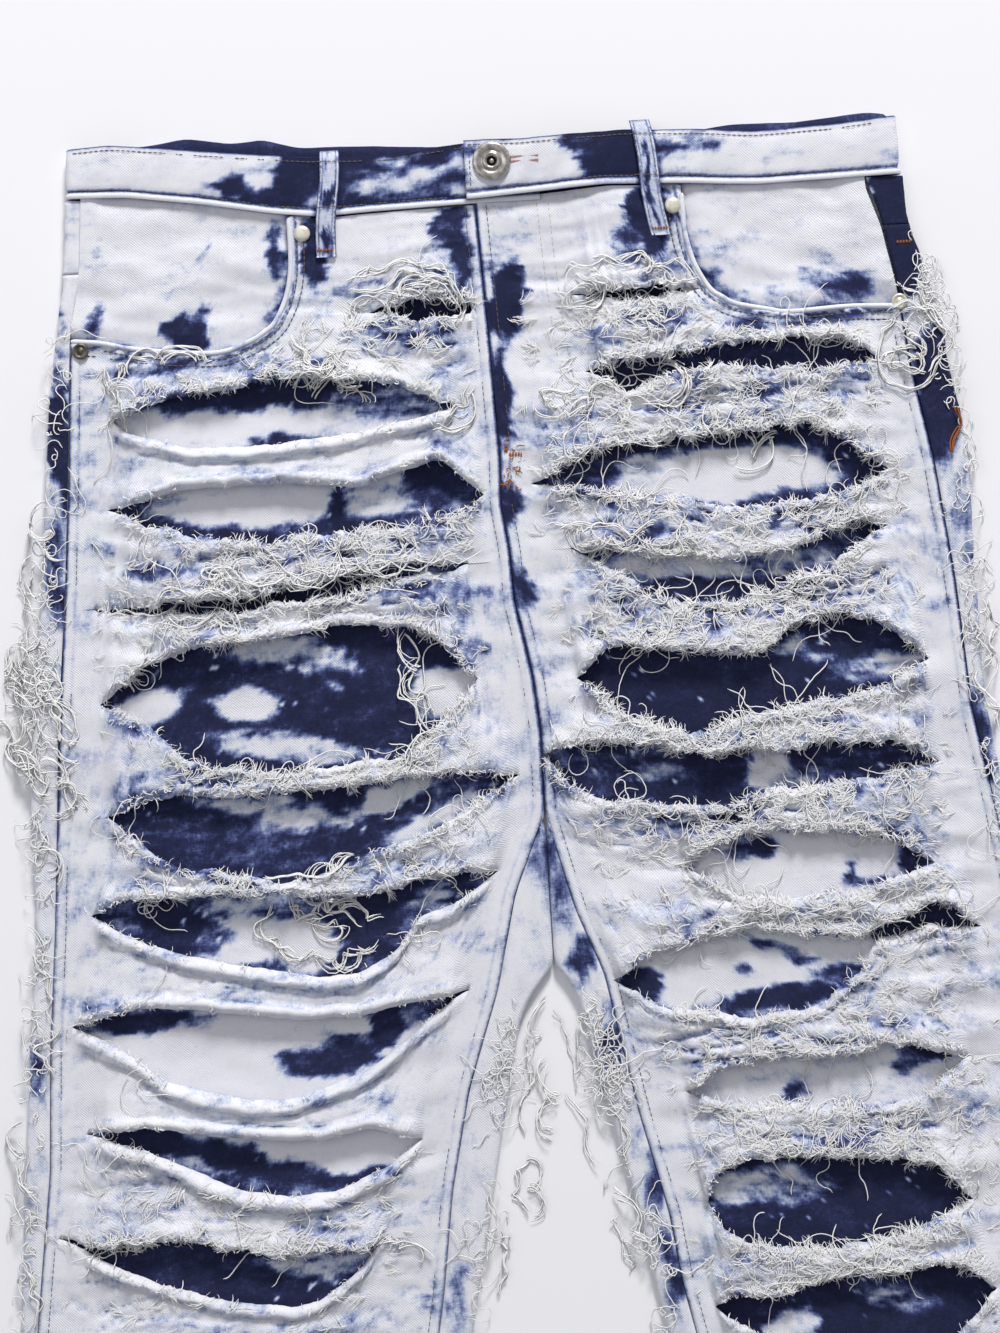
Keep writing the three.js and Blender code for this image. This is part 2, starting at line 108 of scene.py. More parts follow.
def make_stage():
    """The camera straight above, the white floor, and daylight from above the waist."""
    scene = bpy.context.scene
    camera_data = bpy.data.cameras.new("camera")
    camera_data.lens = LENS
    camera_data.sensor_width = SENSOR
    camera_data.clip_end = 50
    camera = bpy.data.objects.new("camera", camera_data)
    distance = PHOTO_HEIGHT * LENS / SENSOR + CLOTH_TOP
    camera.location = (VIEW_CENTRE[0] * MM, (WAIST_Y - VIEW_CENTRE[1]) * MM, distance * MM)
    camera.rotation_euler = (0, 0, math.radians(TURN))
    scene.collection.objects.link(camera)
    scene.camera = camera

    bpy.ops.mesh.primitive_plane_add(size=FLOOR_SIZE, location=(0, 0, -FLOOR_GAP * MM))
    floor = bpy.context.object
    floor.name = "floor"
    material = bpy.data.materials.new("floor")
    material.use_nodes = True
    shader = material.node_tree.nodes["Principled BSDF"]
    shader.inputs["Base Color"].default_value = FLOOR_COLOUR
    shader.inputs["Roughness"].default_value = 0.95
    floor.data.materials.append(material)

    for name, settings in LIGHTS.items():
        area_light(name, *settings)
    world = bpy.data.worlds.new("studio")
    world.use_nodes = True
    background = world.node_tree.nodes["Background"]
    background.inputs["Color"].default_value = SKY_COLOUR
    background.inputs["Strength"].default_value = SKY_STRENGTH
    scene.world = world
    scene.view_settings.view_transform = "Standard"


make_stage()


# ---------------------------------------------------------------- noise and curves
# Every use of noise below has a seed of its own, so that no two patterns match.
def lattice(ix, iy, seed):
    """A repeatable random number from -1 to 1 for each cell."""
    n = (ix * 374761393 + iy * 668265263 + seed * 2147483647) & 0xFFFFFFFF
    n = ((n ^ (n >> 13)) * 1274126177) & 0xFFFFFFFF
    n = (n ^ (n >> 16)) & 0xFFFFFF
    return n / float(0x7FFFFF) - 1


def noise(x, y, seed):
    """Smooth noise from -1 to 1, with one random value for each unit of x and y."""
    x, y = np.broadcast_arrays(np.asarray(x, float), np.asarray(y, float))
    ix, iy = np.floor(x).astype(np.int64), np.floor(y).astype(np.int64)
    fx, fy = x - ix, y - iy
    fx, fy = fx * fx * (3 - 2 * fx), fy * fy * (3 - 2 * fy)
    top = lattice(ix, iy, seed) * (1 - fx) + lattice(ix + 1, iy, seed) * fx
    bottom = lattice(ix, iy + 1, seed) * (1 - fx) + lattice(ix + 1, iy + 1, seed) * fx
    return top * (1 - fy) + bottom * fy


def fbm(x, y, seed, octaves=4):
    """Noise with finer and fainter noise on top of it, turned at each octave."""
    total, weight = 0, 0.55
    for octave in range(octaves):
        total = total + weight * noise(x, y, seed + 17 * octave)
        x, y = 1.62 * x - 1.22 * y + 5.3, 1.22 * x + 1.62 * y + 1.7
        weight *= 0.5
    return total


def smooth(t):
    """0 below 0, 1 above 1, and an S-curve between."""
    t = np.clip(t, 0, 1)
    return t * t * (3 - 2 * t)


def mix(a, b, t):
    """From a where t is 0 to b where t is 1."""
    return a + (b - a) * t


def bell(value, centre, width):
    """1 where value is at the centre, falling to 0 on both sides of it."""
    return np.exp(-((value - centre) / width) ** 2)


FINE = np.arange(-40, 1180, 1.0)
LINE_BLUR = 7                 # how far line() rounds its corners, and curve() where it isn't told


def blurred(table, reach):
    """The table with its corners rounded over so many places on each side."""
    kernel = np.hanning(2 * reach + 3)
    kernel /= kernel.sum()
    return np.convolve(np.pad(table, reach + 1, mode="edge"), kernel, mode="valid")


def curve(points, blur=2 * LINE_BLUR):
    """A smooth line through [drop, x] points, as a function of drop."""
    table = blurred(np.interp(FINE, *zip(*points)), blur)
    return lambda drop: np.interp(drop, FINE, table)


def line(points):
    """The same as a function of x, for points given as (x, drop)."""
    ordered = sorted(points)
    xs = np.array([p[0] for p in ordered], float)
    drops = np.array([p[1] for p in ordered], float)
    grid = np.arange(xs[0] - 30, xs[-1] + 30, 1.0)
    table = blurred(np.interp(grid, xs, drops), LINE_BLUR)
    return lambda x: np.interp(x, grid, table)


# ---------------------------------------------------------------- outlines, as [drop, x]
CENTRE_SEAM = [[30, -17], [100, -14], [165, -12], [190, -13], [213, -10], [240, -9], [279, -2],
               [308, 0.5], [350, 0]]
INSEAM = {
    "left": curve(CENTRE_SEAM + [[392, -18], [441, -30], [492, -48], [545, -60], [600, -68],
                                 [800, -109], [HEM, -166]], 6),
    "right": curve(CENTRE_SEAM + [[402, 13], [436, 26], [475, 33], [511, 40], [562, 52], [600, 57],
                                  [800, 101], [HEM, 164]], 6),
}
OUTSEAM = {
    "left": curve([[19, -221], [57, -224], [90, -231], [127, -234], [157, -236], [215, -241],
                   [300, -250], [400, -258], [458, -264], [522, -268], [600, -279], [800, -303],
                   [HEM, -338]], 6),
    "right": curve([[31, 186], [53, 193], [92, 200], [130, 204], [180, 213], [240, 220], [310, 225],
                    [343, 231], [400, 240], [500, 255], [600, 272], [800, 299], [HEM, 338]], 6),
}
OUTER_FOLD = {
    "left": curve([[0, -228], [57, -233], [127, -245], [200, -252], [260, -260], [320, -266],
                   [400, -268], [440, -273], [520, -281], [600, -288], [800, -314], [HEM, -352]]),
    "right": curve([[0, 204], [53, 207], [95, 219], [145, 226], [173, 232], [220, 231], [300, 232],
                    [340, 237], [400, 247], [500, 264], [600, 281], [800, 311], [HEM, 352]]),
}
INNER_FOLD = {
    "left": curve([[430, -0.2], [437, -6], [447, -14], [460, -20], [510, -31], [560, -41],
                   [600, -50], [800, -92], [HEM, -148]], 3),
    "right": curve([[430, 0.2], [437, 6], [447, 11], [460, 14], [510, 25], [560, 36], [600, 43],
                    [800, 87], [HEM, 148]], 3),
}
FRONT_WAIST = {
    "left": line([(-228, 18), (-198, 19), (-158, 25), (-122, 32), (-98, 35), (-72, 34), (-17, 33)]),
    "right": line([(-17, 31), (20, 29), (52, 27), (91, 29), (130, 32), (204, 31)]),
}
POCKET_EDGE = {
    "left": [(-114, 20), (-114, 50), (-115, 64), (-118, 76), (-124, 88), (-130, 93), (-137, 97),
             (-153, 102), (-174, 101), (-201, 97), (-218, 93), (-250, 90)],
    "right": [(90, 18), (90.5, 42), (91, 55), (95, 71), (102, 84), (108, 89), (115, 93), (131, 97),
              (144, 99), (179, 98), (222, 101)],
}


SEAT_END = 285                # the seat stands on its pockets down to here, and sinks to the crotch
SPREAD_START = 600            # from here down the legs lean outwards, and the hems with them


def seat_lift(drop):
    """How far the back cloth is held up off the floor."""
    return SEAT_LIFT * np.clip((CROTCH - drop) / (CROTCH - SEAT_END), 0, 1)


def hem_tilt(drop):
    """How much lower a row is at the outseam than at the inseam."""
    return np.clip((drop - SPREAD_START) / (HEM - SPREAD_START), 0, 1) * HEM_TILT


# ---------------------------------------------------------------- slashes
# Upper and lower edge of each slash. Between "rough" 0 and 1 the edge is ragged.
SLASHES = {
    "left": [
        ([(-75, 86), (-50, 82), (-22, 84)], [(-75, 86), (-48, 92), (-22, 90)]),
        ([(-212, 133), (-193, 127), (-167, 124), (-141, 121), (-124, 118), (-100, 119), (-63, 125),
          (-46, 131), (-29, 138)],
         [(-212, 133), (-206, 141), (-176, 150), (-151, 152), (-125, 152), (-90, 149), (-54, 142),
          (-29, 138)]),
        ([(-216, 180), (-178, 172), (-126, 171), (-85, 176), (-60, 168), (-42, 164), (-22, 184)],
         [(-216, 180), (-200, 189), (-158, 199), (-144, 202), (-100, 199), (-67, 198), (-31, 190),
          (-22, 184)]),
        ([(-232, 231), (-200, 230), (-165, 230), (-113, 225), (-90, 221), (-60, 217), (-32, 219)],
         [(-232, 231), (-200, 236), (-165, 237), (-113, 233), (-90, 229), (-60, 224), (-32, 219)]),
        ([(-227, 281), (-211, 268), (-193, 258), (-175, 253), (-140, 252), (-97, 246), (-60, 251),
          (-45, 261), (-31, 279)],
         [(-227, 281), (-199, 296), (-187, 311), (-163, 319), (-138, 322), (-111, 321), (-77, 319),
          (-58, 310), (-31, 279)]),
        ([(-226, 339), (-200, 331), (-164, 332), (-94, 330), (-60, 326), (-12, 330)],
         [(-226, 339), (-207, 358), (-189, 368), (-143, 378), (-125, 378), (-104, 371), (-86, 363),
          (-60, 357), (-12, 330)]),
        ([(-238, 390), (-219, 382), (-175, 383), (-98, 388), (-69, 382), (-26, 379)],
         [(-238, 390), (-212, 407), (-166, 420), (-120, 429), (-101, 428), (-80, 417), (-70, 402),
          (-44, 393), (-26, 379)]),
        ([(-252, 447), (-220, 439), (-186, 441), (-134, 450), (-104, 450), (-65, 443), (-46, 440)],
         [(-252, 447), (-221, 465), (-205, 479), (-163, 491), (-137, 491), (-101, 480), (-82, 467),
          (-60, 450), (-46, 440)]),
        ([(-247, 503), (-218, 501), (-153, 511), (-127, 513), (-101, 508), (-74, 516)],
         [(-247, 503), (-211, 517), (-171, 537), (-145, 542), (-119, 541), (-90, 528), (-74, 516)]),
        ([(-265, 556), (-238, 561), (-199, 562), (-150, 572), (-115, 571), (-97, 566)],
         [(-265, 556), (-228, 578), (-186, 593), (-143, 600), (-131, 597), (-112, 584), (-97, 566)]),
        ([(-262, 640), (-220, 634), (-170, 640), (-112, 648)],
         [(-262, 640), (-225, 652), (-170, 660), (-112, 648)]),
        ([(-240, 705), (-190, 702), (-140, 712)], [(-240, 705), (-190, 715), (-140, 712)]),
    ],
    "right": [
        ([(30, 83), (62, 80), (97, 84)], [(30, 83), (62, 88), (97, 84)]),
        ([(36, 123), (65, 120), (100, 115), (136, 111), (170, 114), (188, 126)],
         [(36, 123), (47, 130), (58, 135), (81, 126), (115, 124), (149, 130), (188, 126)]),
        ([(4, 180), (28, 168), (54, 164), (98, 160), (124, 158), (150, 157), (166, 165), (188, 183)],
         [(4, 180), (35, 185), (62, 190), (109, 198), (138, 199), (170, 194), (188, 183)]),
        ([(22, 214), (78, 222), (104, 225), (148, 219), (165, 208), (186, 212)],
         [(22, 214), (47, 229), (60, 240), (76, 245), (103, 247), (129, 241), (160, 229), (186, 212)]),
        ([(22, 282), (40, 266), (67, 269), (117, 275), (126, 267), (137, 257), (170, 258), (187, 267),
          (203, 283)],
         [(22, 282), (37, 295), (47, 303), (64, 310), (87, 314), (96, 310), (140, 302), (172, 299),
          (203, 283)]),
        ([(2, 320), (28, 313), (64, 320), (88, 325), (131, 324), (181, 323), (206, 337)],
         [(2, 320), (10, 334), (26, 344), (59, 350), (97, 354), (112, 347), (155, 345), (206, 337)]),
        ([(72, 384), (85, 371), (120, 367), (155, 370), (181, 376), (200, 389)],
         [(72, 384), (92, 397), (121, 404), (164, 402), (200, 389)]),
        ([(31, 440), (50, 428), (70, 423), (98, 415), (132, 424), (160, 426), (166, 420), (194, 410),
          (205, 408), (222, 424)],
         [(31, 440), (54, 456), (99, 462), (139, 460), (158, 446), (168, 426), (198, 423), (222, 424)]),
        ([(65, 500), (84, 488), (102, 485), (154, 485), (177, 481), (212, 490)],
         [(65, 500), (82, 508), (126, 511), (160, 513), (186, 511), (212, 490)]),
        ([(72, 558), (78, 541), (90, 537), (133, 536), (168, 542), (194, 547), (209, 565)],
         [(72, 558), (80, 573), (95, 581), (121, 586), (156, 583), (192, 573), (209, 565)]),
        ([(73, 612), (85, 606), (110, 607), (154, 598), (189, 596), (205, 598), (218, 612)],
         [(73, 612), (90, 626), (125, 642), (165, 646), (200, 634), (218, 612)]),
        ([(95, 690), (150, 684), (205, 694)], [(95, 690), (150, 704), (205, 694)]),
    ],
}
# For each band of cloth under the waist and under each slash: radius of the roll along its top edge
# and its bottom edge, height of its cross folds, and how furry its top and its bottom edge are.
BANDS = {
    "left": [(0, 1.4, 0.4, 0.0, 0.9), (1.4, 2.2, 0.8, 0.8, 0.7), (3.4, 3.2, 0.5, 0.1, 0.2),
             (2.0, 2.0, 1.1, 1.0, 1.0), (1.8, 2.8, 1.2, 0.9, 0.5), (1.8, 2.6, 0.9, 0.8, 0.5),
             (2.2, 2.4, 1.1, 0.5, 0.6), (3.6, 3.2, 0.5, 0.1, 0.1), (4.0, 3.2, 0.4, 0.05, 0.1),
             (4.2, 2.0, 0.7, 0.1, 1.0), (3.2, 1.2, 0.8, 0.15, 0.5), (2, 1, 0.6, 0.4, 0.4),
             (1.6, 0, 0.5, 0.2, 0.2)],
    "right": [(0, 1.4, 0.4, 0.0, 1.0), (1.6, 2.0, 1.0, 1.0, 1.0), (1.8, 2.0, 1.1, 1.0, 1.0),
              (2.0, 1.8, 1.1, 0.9, 1.0), (1.8, 2.0, 1.1, 1.0, 1.0), (2.2, 2.0, 1.1, 1.0, 1.0),
              (2.2, 2.0, 1.2, 1.0, 1.0), (2.4, 2.0, 1.1, 0.9, 0.9), (2.6, 2.2, 1.0, 0.8, 0.8),
              (2.0, 1.8, 1.1, 0.9, 1.0), (1.8, 2.0, 1.1, 1.0, 1.0), (2, 1, 0.7, 0.6, 0.4),
              (1.6, 0, 0.5, 0.2, 0.2)],
}
TOP_RISE, BOTTOM_RISE = 2.0, 5.2      # how far a band stands off along its open edges

# ---------------------------------------------------------------- dye: 0 bleached to 1 navy
# Each spot is (x, drop, half width, half height, dye, lean in degrees).
BACKING_DYE = {
    "left": [
        (-130, 150, 130, 30, 0.1, 0), (-120, 340, 130, 60, 0.85, 0), (-140, 290, 120, 60, 0.95, 0),
        (-160, 470, 110, 35, 0.0, 0), (-120, 515, 90, 16, 0.02, 0), (-180, 600, 110, 60, 0.95, 0),
        (-60, 88, 40, 9, 1, 0),
        (-140, 125, 80, 7, 1, 0), (-150, 141, 42, 7, 0, 0), (-125, 149, 24, 4, 0.9, 0),
        (-68, 134, 26, 9, 0.6, 10), (-40, 134, 12, 6, 0.9, 0),
        (-140, 184, 52, 9, 0, 0), (-180, 195, 20, 5, 1, 20), (-155, 200, 18, 4, 1, 8),
        (-208, 182, 10, 5, 0.95, 0), (-97, 186, 5, 12, 1, 0), (-74, 185, 15, 8, 0.2, 0),
        (-45, 172, 20, 9, 1, 0), (-40, 190, 16, 5, 0.7, 0),
        (-130, 228, 120, 7, 1, 0),
        (-205, 286, 22, 8, 0.05, -22), (-151, 286, 17, 9, 0, 6), (-137, 257, 22, 8, 0.2, 0),
        (-108, 264, 12, 5, 0.45, 20), (-140, 308, 32, 6, 0.1, 6), (-110, 313, 22, 5, 0.3, 0),
        (-47, 285, 16, 14, 0.02, 0), (-45, 262, 15, 7, 1, 0), (-118, 270, 2.5, 3, 0, 0),
        (-110, 266, 2, 4, 0.1, 0), (-100, 262, 2, 3, 0, 0), (-127, 268, 2, 2, 0, 0),
        (-104, 280, 3, 2, 0.1, 0), (-92, 268, 2, 4, 0.2, 0),
        (-150, 338, 30, 6, 0.35, 6), (-125, 347, 22, 6, 0.3, 0), (-80, 338, 26, 6, 0.05, -20),
        (-60, 352, 24, 5, 0.1, -25), (-66, 343, 14, 4, 0.75, -25), (-205, 350, 20, 8, 0.9, 40),
        (-152, 388, 40, 5, 0.45, 0), (-160, 408, 30, 13, 0.02, 0), (-195, 398, 26, 11, 1, 25),
        (-175, 406, 12, 5, 0.8, 0), (-128, 412, 14, 16, 0.0, 0), (-92, 402, 14, 18, 0.95, 10),
        (-62, 392, 12, 7, 0.5, -20),
        (-215, 447, 32, 6, 1, 0), (-122, 470, 26, 12, 0.95, 0), (-90, 458, 9, 15, 0.95, 15),
        (-72, 450, 12, 7, 0.7, -20), (-140, 460, 20, 6, 0.05, 0),
        (-205, 511, 26, 7, 1, 14), (-172, 521, 26, 8, 1, 18), (-137, 531, 24, 6, 1, 12),
        (-110, 536, 14, 5, 0.95, 0), (-98, 522, 12, 6, 0, 0),
        (-240, 560, 10, 4, 0.9, 0), (-137, 577, 26, 8, 0.4, 10), (-112, 574, 12, 5, 0.5, 0),
        (-190, 650, 70, 7, 0.6, 0),
    ],
    "right": [
        (110, 150, 130, 50, 0.95, 0), (110, 285, 120, 50, 1, 0), (110, 340, 120, 26, 0.95, 0),
        (140, 388, 70, 22, 0.02, 0), (120, 435, 100, 28, 0.02, 0), (140, 497, 90, 20, 0.12, 0),
        (140, 560, 100, 34, 1, 0), (150, 625, 100, 36, 1, 0),
        (62, 84, 45, 7, 1, 0),
        (104, 181, 62, 14, 0, 0), (22, 179, 20, 9, 0.85, 0), (100, 161, 70, 5, 1, 0),
        (128, 195, 16, 4, 0.85, 0), (62, 176, 12, 7, 0.25, 0), (172, 176, 16, 10, 1, 0),
        (85, 226, 50, 8, 0.2, 0), (85, 241, 44, 6, 0.95, 0), (150, 235, 24, 6, 0.75, 0),
        (128, 228, 26, 5, 0.4, 0), (174, 211, 13, 7, 1, 0),
        (135, 271, 12, 5, 0.35, -10), (182, 285, 22, 6, 0.3, -12), (150, 280, 14, 3, 0.6, 20),
        (98, 270, 20, 2.5, 0.7, 0),
        (40, 326, 34, 12, 0.8, 0), (60, 333, 14, 5, 0.5, 0), (118, 334, 12, 13, 0.15, 10),
        (165, 333, 34, 10, 0.9, 0), (135, 342, 12, 5, 0.5, 0),
        (109, 376, 10, 6, 0.95, 0), (190, 385, 10, 10, 0.95, 0), (158, 391, 2.5, 7, 0.9, 0),
        (168, 397, 13, 2.2, 0.85, -12), (95, 378, 8, 4, 0.5, 0),
        (44, 443, 13, 11, 1, 0), (112, 426, 14, 3, 0.75, 25), (128, 433, 12, 4, 0.8, 30),
        (98, 439, 5, 3, 0.6, 0), (120, 455, 44, 5.5, 1, -5), (150, 444, 14, 6, 0.8, -10),
        (192, 419, 32, 11, 1, 0), (172, 424, 8, 5, 0.8, 0),
        (121, 504, 4, 6, 0.9, 10), (195, 486, 18, 6, 1, 0), (180, 492, 6, 6, 0.8, 0),
        (82, 552, 14, 9, 0.2, 20), (116, 553, 24, 8, 0.5, 0), (105, 545, 16, 4, 0.35, 0),
        (110, 626, 16, 9, 0.15, -25), (168, 612, 22, 8, 0.6, 20),
        (150, 694, 60, 7, 0.7, 0),
    ],
}
FRONT_DYE = {
    "left": [
        (-102, 52, 7, 17, 0.95, 0), (-32, 44, 9, 12, 0.9, 30), (-26, 62, 5, 14, 0.8, 0),
        (-60, 96, 26, 6, 0.45, 0), (-50, 103, 20, 3.5, 0.5, 0), (-85, 74, 18, 4, 0.4, -10),
        (-170, 107, 30, 4, 0.4, 0), (-115, 112, 22, 5, 0.4, 0), (-215, 112, 9, 4, 0.3, 0),
        (-40, 190, 22, 6, 0.4, -10), (-45, 205, 20, 5, 0.3, 0), (-222, 200, 8, 6, 0.4, 0),
        (-215, 160, 10, 8, 0.15, 0), (-60, 232, 40, 5, 0.45, 5), (-40, 243, 18, 5, 0.4, 10),
        (-190, 214, 18, 3, 0.8, 0), (-30, 262, 6, 3, 0.6, 0), (-180, 372, 28, 3, 0.55, 18),
        (-90, 366, 30, 3.5, 0.5, -12), (-75, 376, 30, 4, 0.35, -15), (-210, 350, 12, 4, 0.3, 40),
        (-50, 398, 18, 4, 0.3, -20), (-190, 548, 40, 3, 0.25, 5), (-110, 556, 28, 3, 0.3, 0),
        (-60, 600, 20, 8, 0.4, 0), (-150, 615, 60, 6, 0.35, 0),
    ],
    "right": [
        (-4, 84, 9, 22, 1, 8), (-9, 134, 6, 26, 0.95, 0), (-10, 190, 8, 12, 0.9, 0),
        (-8, 232, 6, 14, 0.7, 0), (72, 46, 12, 20, 1, 5), (62, 60, 10, 10, 0.6, 0),
        (85, 68, 12, 7, 0.55, 0), (72, 98, 28, 7, 0.6, -5), (45, 104, 14, 6, 0.35, 0),
        (118, 104, 12, 4, 0.5, 0), (160, 103, 20, 5, 0.55, -5), (28, 148, 14, 6, 0.4, 0),
        (75, 146, 22, 5, 0.35, 0), (130, 138, 16, 4, 0.45, 0), (12, 150, 10, 8, 0.3, 0),
        (150, 150, 14, 3, 0.3, 0), (60, 209, 26, 4, 0.3, 0), (120, 202, 20, 4, 0.25, 0),
        (150, 240, 26, 4, 0.4, -10), (120, 252, 20, 4, 0.45, 0), (60, 262, 30, 3, 0.3, 0),
        (30, 296, 12, 8, 0.3, 45), (100, 318, 24, 4, 0.5, 0), (130, 308, 20, 4, 0.5, -10),
        (30, 356, 20, 4, 0.4, 0), (72, 362, 30, 4, 0.5, 0), (95, 356, 12, 3, 0.6, 0),
        (175, 470, 12, 4, 0.5, 0), (150, 527, 28, 6, 0.55, -4), (115, 528, 18, 5, 0.4, 0),
        (90, 530, 14, 4, 0.3, 0), (95, 590, 18, 4, 0.3, 0), (180, 590, 16, 4, 0.3, 0),
    ],
}
FACING_DYE = {
    "left": [(-171, 90, 11, 9, 1, 0), (-166, 84, 4, 8, 0.8, 20), (-218, 83, 4, 8, 0.8, 20),
             (-121, 52, 4, 13, 0.8, 0), (-121, 78, 6, 12, 0.5, 25), (-215, 45, 3, 8, 0.3, 0),
             (-157, 48, 1, 3, 0.6, 0)],
    "right": [(172, 88, 14, 5, 1, 0), (158, 82, 8, 3, 0.6, 20), (96, 60, 4, 9, 0.35, 0),
              (100, 78, 8, 6, 0.7, 40), (115, 90, 14, 4, 0.6, 10), (140, 92, 30, 3, 0.35, 0)],
}
BAND_DYE = [
    (-143, 17, 10, 5, 1, 10), (-120, 24, 18, 8, 0.95, 0), (-108, 12, 14, 12, 1, 20),
    (-60, 18, 42, 14, 0.75, 0), (-85, 6, 20, 6, 1, 0), (-62, 12, 10, 4, 0.5, 0),
    (-45, 16, 22, 4, 0.15, -10), (-68, 22, 14, 3, 0.2, 0), (-35, 6, 16, 4, 0.95, 0),
    (-170, 26, 12, 2, 0.7, 0), (56, 13, 19, 16, 1, 10), (84, 9, 22, 4, 0.9, 0),
    (100, 8, 14, 4, 0.5, 0), (38, 4, 10, 5, 0.9, 0),
]
SIDE_DYE = [
    (200, 62, 14, 40, 1, 0), (217, 145, 12, 38, 0.95, 0), (226, 210, 8, 26, 0.5, 0),
    (229, 330, 5, 26, 0.9, 0), (232, 265, 5, 20, 0.4, 0), (-240, 145, 7, 38, 0.95, 0),
    (-246, 210, 6, 24, 0.8, 0), (-240, 75, 7, 26, 0.4, 0), (-272, 470, 6, 16, 0.5, 0),
    (-283, 560, 5, 20, 0.3, 0), (-3, 372, 9, 16, 0.55, 0), (6, 395, 9, 16, 0.5, 0),
    (16, 425, 7, 14, 0.75, 20), (28, 470, 6, 18, 0.8, 10), (45, 545, 6, 18, 0.85, 0),
    (52, 590, 6, 22, 0.7, 0), (-62, 600, 6, 16, 0.6, 0), (-26, 420, 5, 12, 0.3, 0),
]


DYE_EDGE = 5.4                # how wide the fading edge of a spot is


def dye_field(x, drop, spots, base, seed):
    """Dye from soft-edged spots, whose edges wander as bleach does."""
    wx = x + 6 * fbm(x / 16, drop / 11, seed) + 3.2 * fbm(x / 5, drop / 2.6, seed + 5)
    wd = drop + 3.6 * fbm(x / 14, drop / 9, seed + 9) + 1.6 * fbm(x / 3.5, drop / 3.5, seed + 7)
    field = np.broadcast_to(np.asarray(base, float), np.shape(x)).copy()
    for sx, sd, half_w, half_h, value, lean in spots:
        a = math.radians(lean)
        u = ((wx - sx) * math.cos(a) + (wd - sd) * math.sin(a)) / half_w
        v = (-(wx - sx) * math.sin(a) + (wd - sd) * math.cos(a)) / half_h
        near = 1 - np.sqrt(u * u + v * v)
        share = smooth(near * min(half_w, half_h) / DYE_EDGE + 0.5)
        field = mix(field, value, share)
    streaks = fbm(x / 9, drop / 3.2, seed + 41, 4) + 0.5 * fbm(x / 3, drop / 2.6, seed + 43, 3)
    uneven = np.clip(field + streaks * (0.1 + 1.9 * np.clip(field * (1 - field), 0, 1)), 0, 1)
    return mix(uneven, smooth(uneven), 0.4)


# ---------------------------------------------------------------- meshes from arrays
WELD = 0.04                   # points nearer than this become one


def mesh_object(name, points, faces, material, cloth=None, weld=False):
    """A mesh: points in millimetres as (x, y, z), faces an array of quads, cloth as cloth_values."""
    points = np.asarray(points, float)
    faces = np.asarray(faces, np.int32)
    sides = faces.shape[1]
    mesh = bpy.data.meshes.new(name)
    mesh.vertices.add(len(points))
    mesh.vertices.foreach_set("co", (points * MM).astype(np.float32).ravel())
    mesh.loops.add(faces.size)
    mesh.loops.foreach_set("vertex_index", faces.ravel())
    mesh.polygons.add(len(faces))
    mesh.polygons.foreach_set("loop_start", np.arange(0, faces.size, sides, dtype=np.int32))
    mesh.polygons.foreach_set("use_smooth", np.full(len(faces), True))
    mesh.update(calc_edges=True)
    if cloth is not None:
        layer = mesh.attributes.new("cloth", "FLOAT_COLOR", "POINT")
        values = np.zeros((len(points), 4), np.float32)
        values[:, :2] = cloth
        values[:, 3] = 1
        layer.data.foreach_set("color", values.ravel())
    if weld:
        joined_mesh = bmesh.new()
        joined_mesh.from_mesh(mesh)
        bmesh.ops.remove_doubles(joined_mesh, verts=joined_mesh.verts, dist=WELD * MM)
        joined_mesh.to_mesh(mesh)
        joined_mesh.free()
    mesh.materials.append(material)
    ob = bpy.data.objects.new(name, mesh)
    bpy.context.scene.collection.objects.link(ob)
    return ob


def grid_faces(rows, columns):
    """Quads between the points of a grid."""
    i, j = np.meshgrid(np.arange(rows - 1), np.arange(columns - 1), indexing="ij")
    a = (i * columns + j).ravel()
    return np.stack([a, a + columns, a + columns + 1, a + 1], 1)


def joined(parts):
    """One set of points, faces and cloth values from several."""
    points, faces, cloth, start = [], [], [], 0
    for p, f, c in parts:
        points.append(p)
        faces.append(f + start)
        cloth.append(c)
        start += len(p)
    return np.concatenate(points), np.concatenate(faces), np.concatenate(cloth)


def end_caps(columns, last):
    """Quads that close both ends of a flattened tube, whose rows run round it from 0 to last."""
    caps = []
    for end in (0, columns - 1):
        for k in range((last - 1) // 2):
            a, b = k * columns + end, (k + 1) * columns + end
            c, d = (last - k - 1) * columns + end, (last - k) * columns + end
            caps.append((a, b, c, d) if end == 0 else (d, c, b, a))
    return np.array(caps)


def world_points(x, drop, z):
    """Places on the cloth as a list of points (x, y, z)."""
    return np.stack([np.ravel(x), WAIST_Y - np.ravel(drop), np.ravel(z)], 1)


def cloth_values(dye, wool=0.0):
    """What the material reads at each point: the dye, and how woolly the cloth is."""
    dye = np.clip(np.ravel(dye), 0, 1)
    return np.stack([dye, np.clip(np.broadcast_to(np.ravel(wool), dye.shape), 0, 1)], 1)


# ---------------------------------------------------------------- materials
def colour(hex_code):
    """A shader colour from a hex code."""
    parts = [int(hex_code[k:k + 2], 16) / 255 for k in (1, 3, 5)]
    return tuple(c / 12.92 if c < 0.04 else ((c + 0.055) / 1.055) ** 2.4 for c in parts) + (1,)


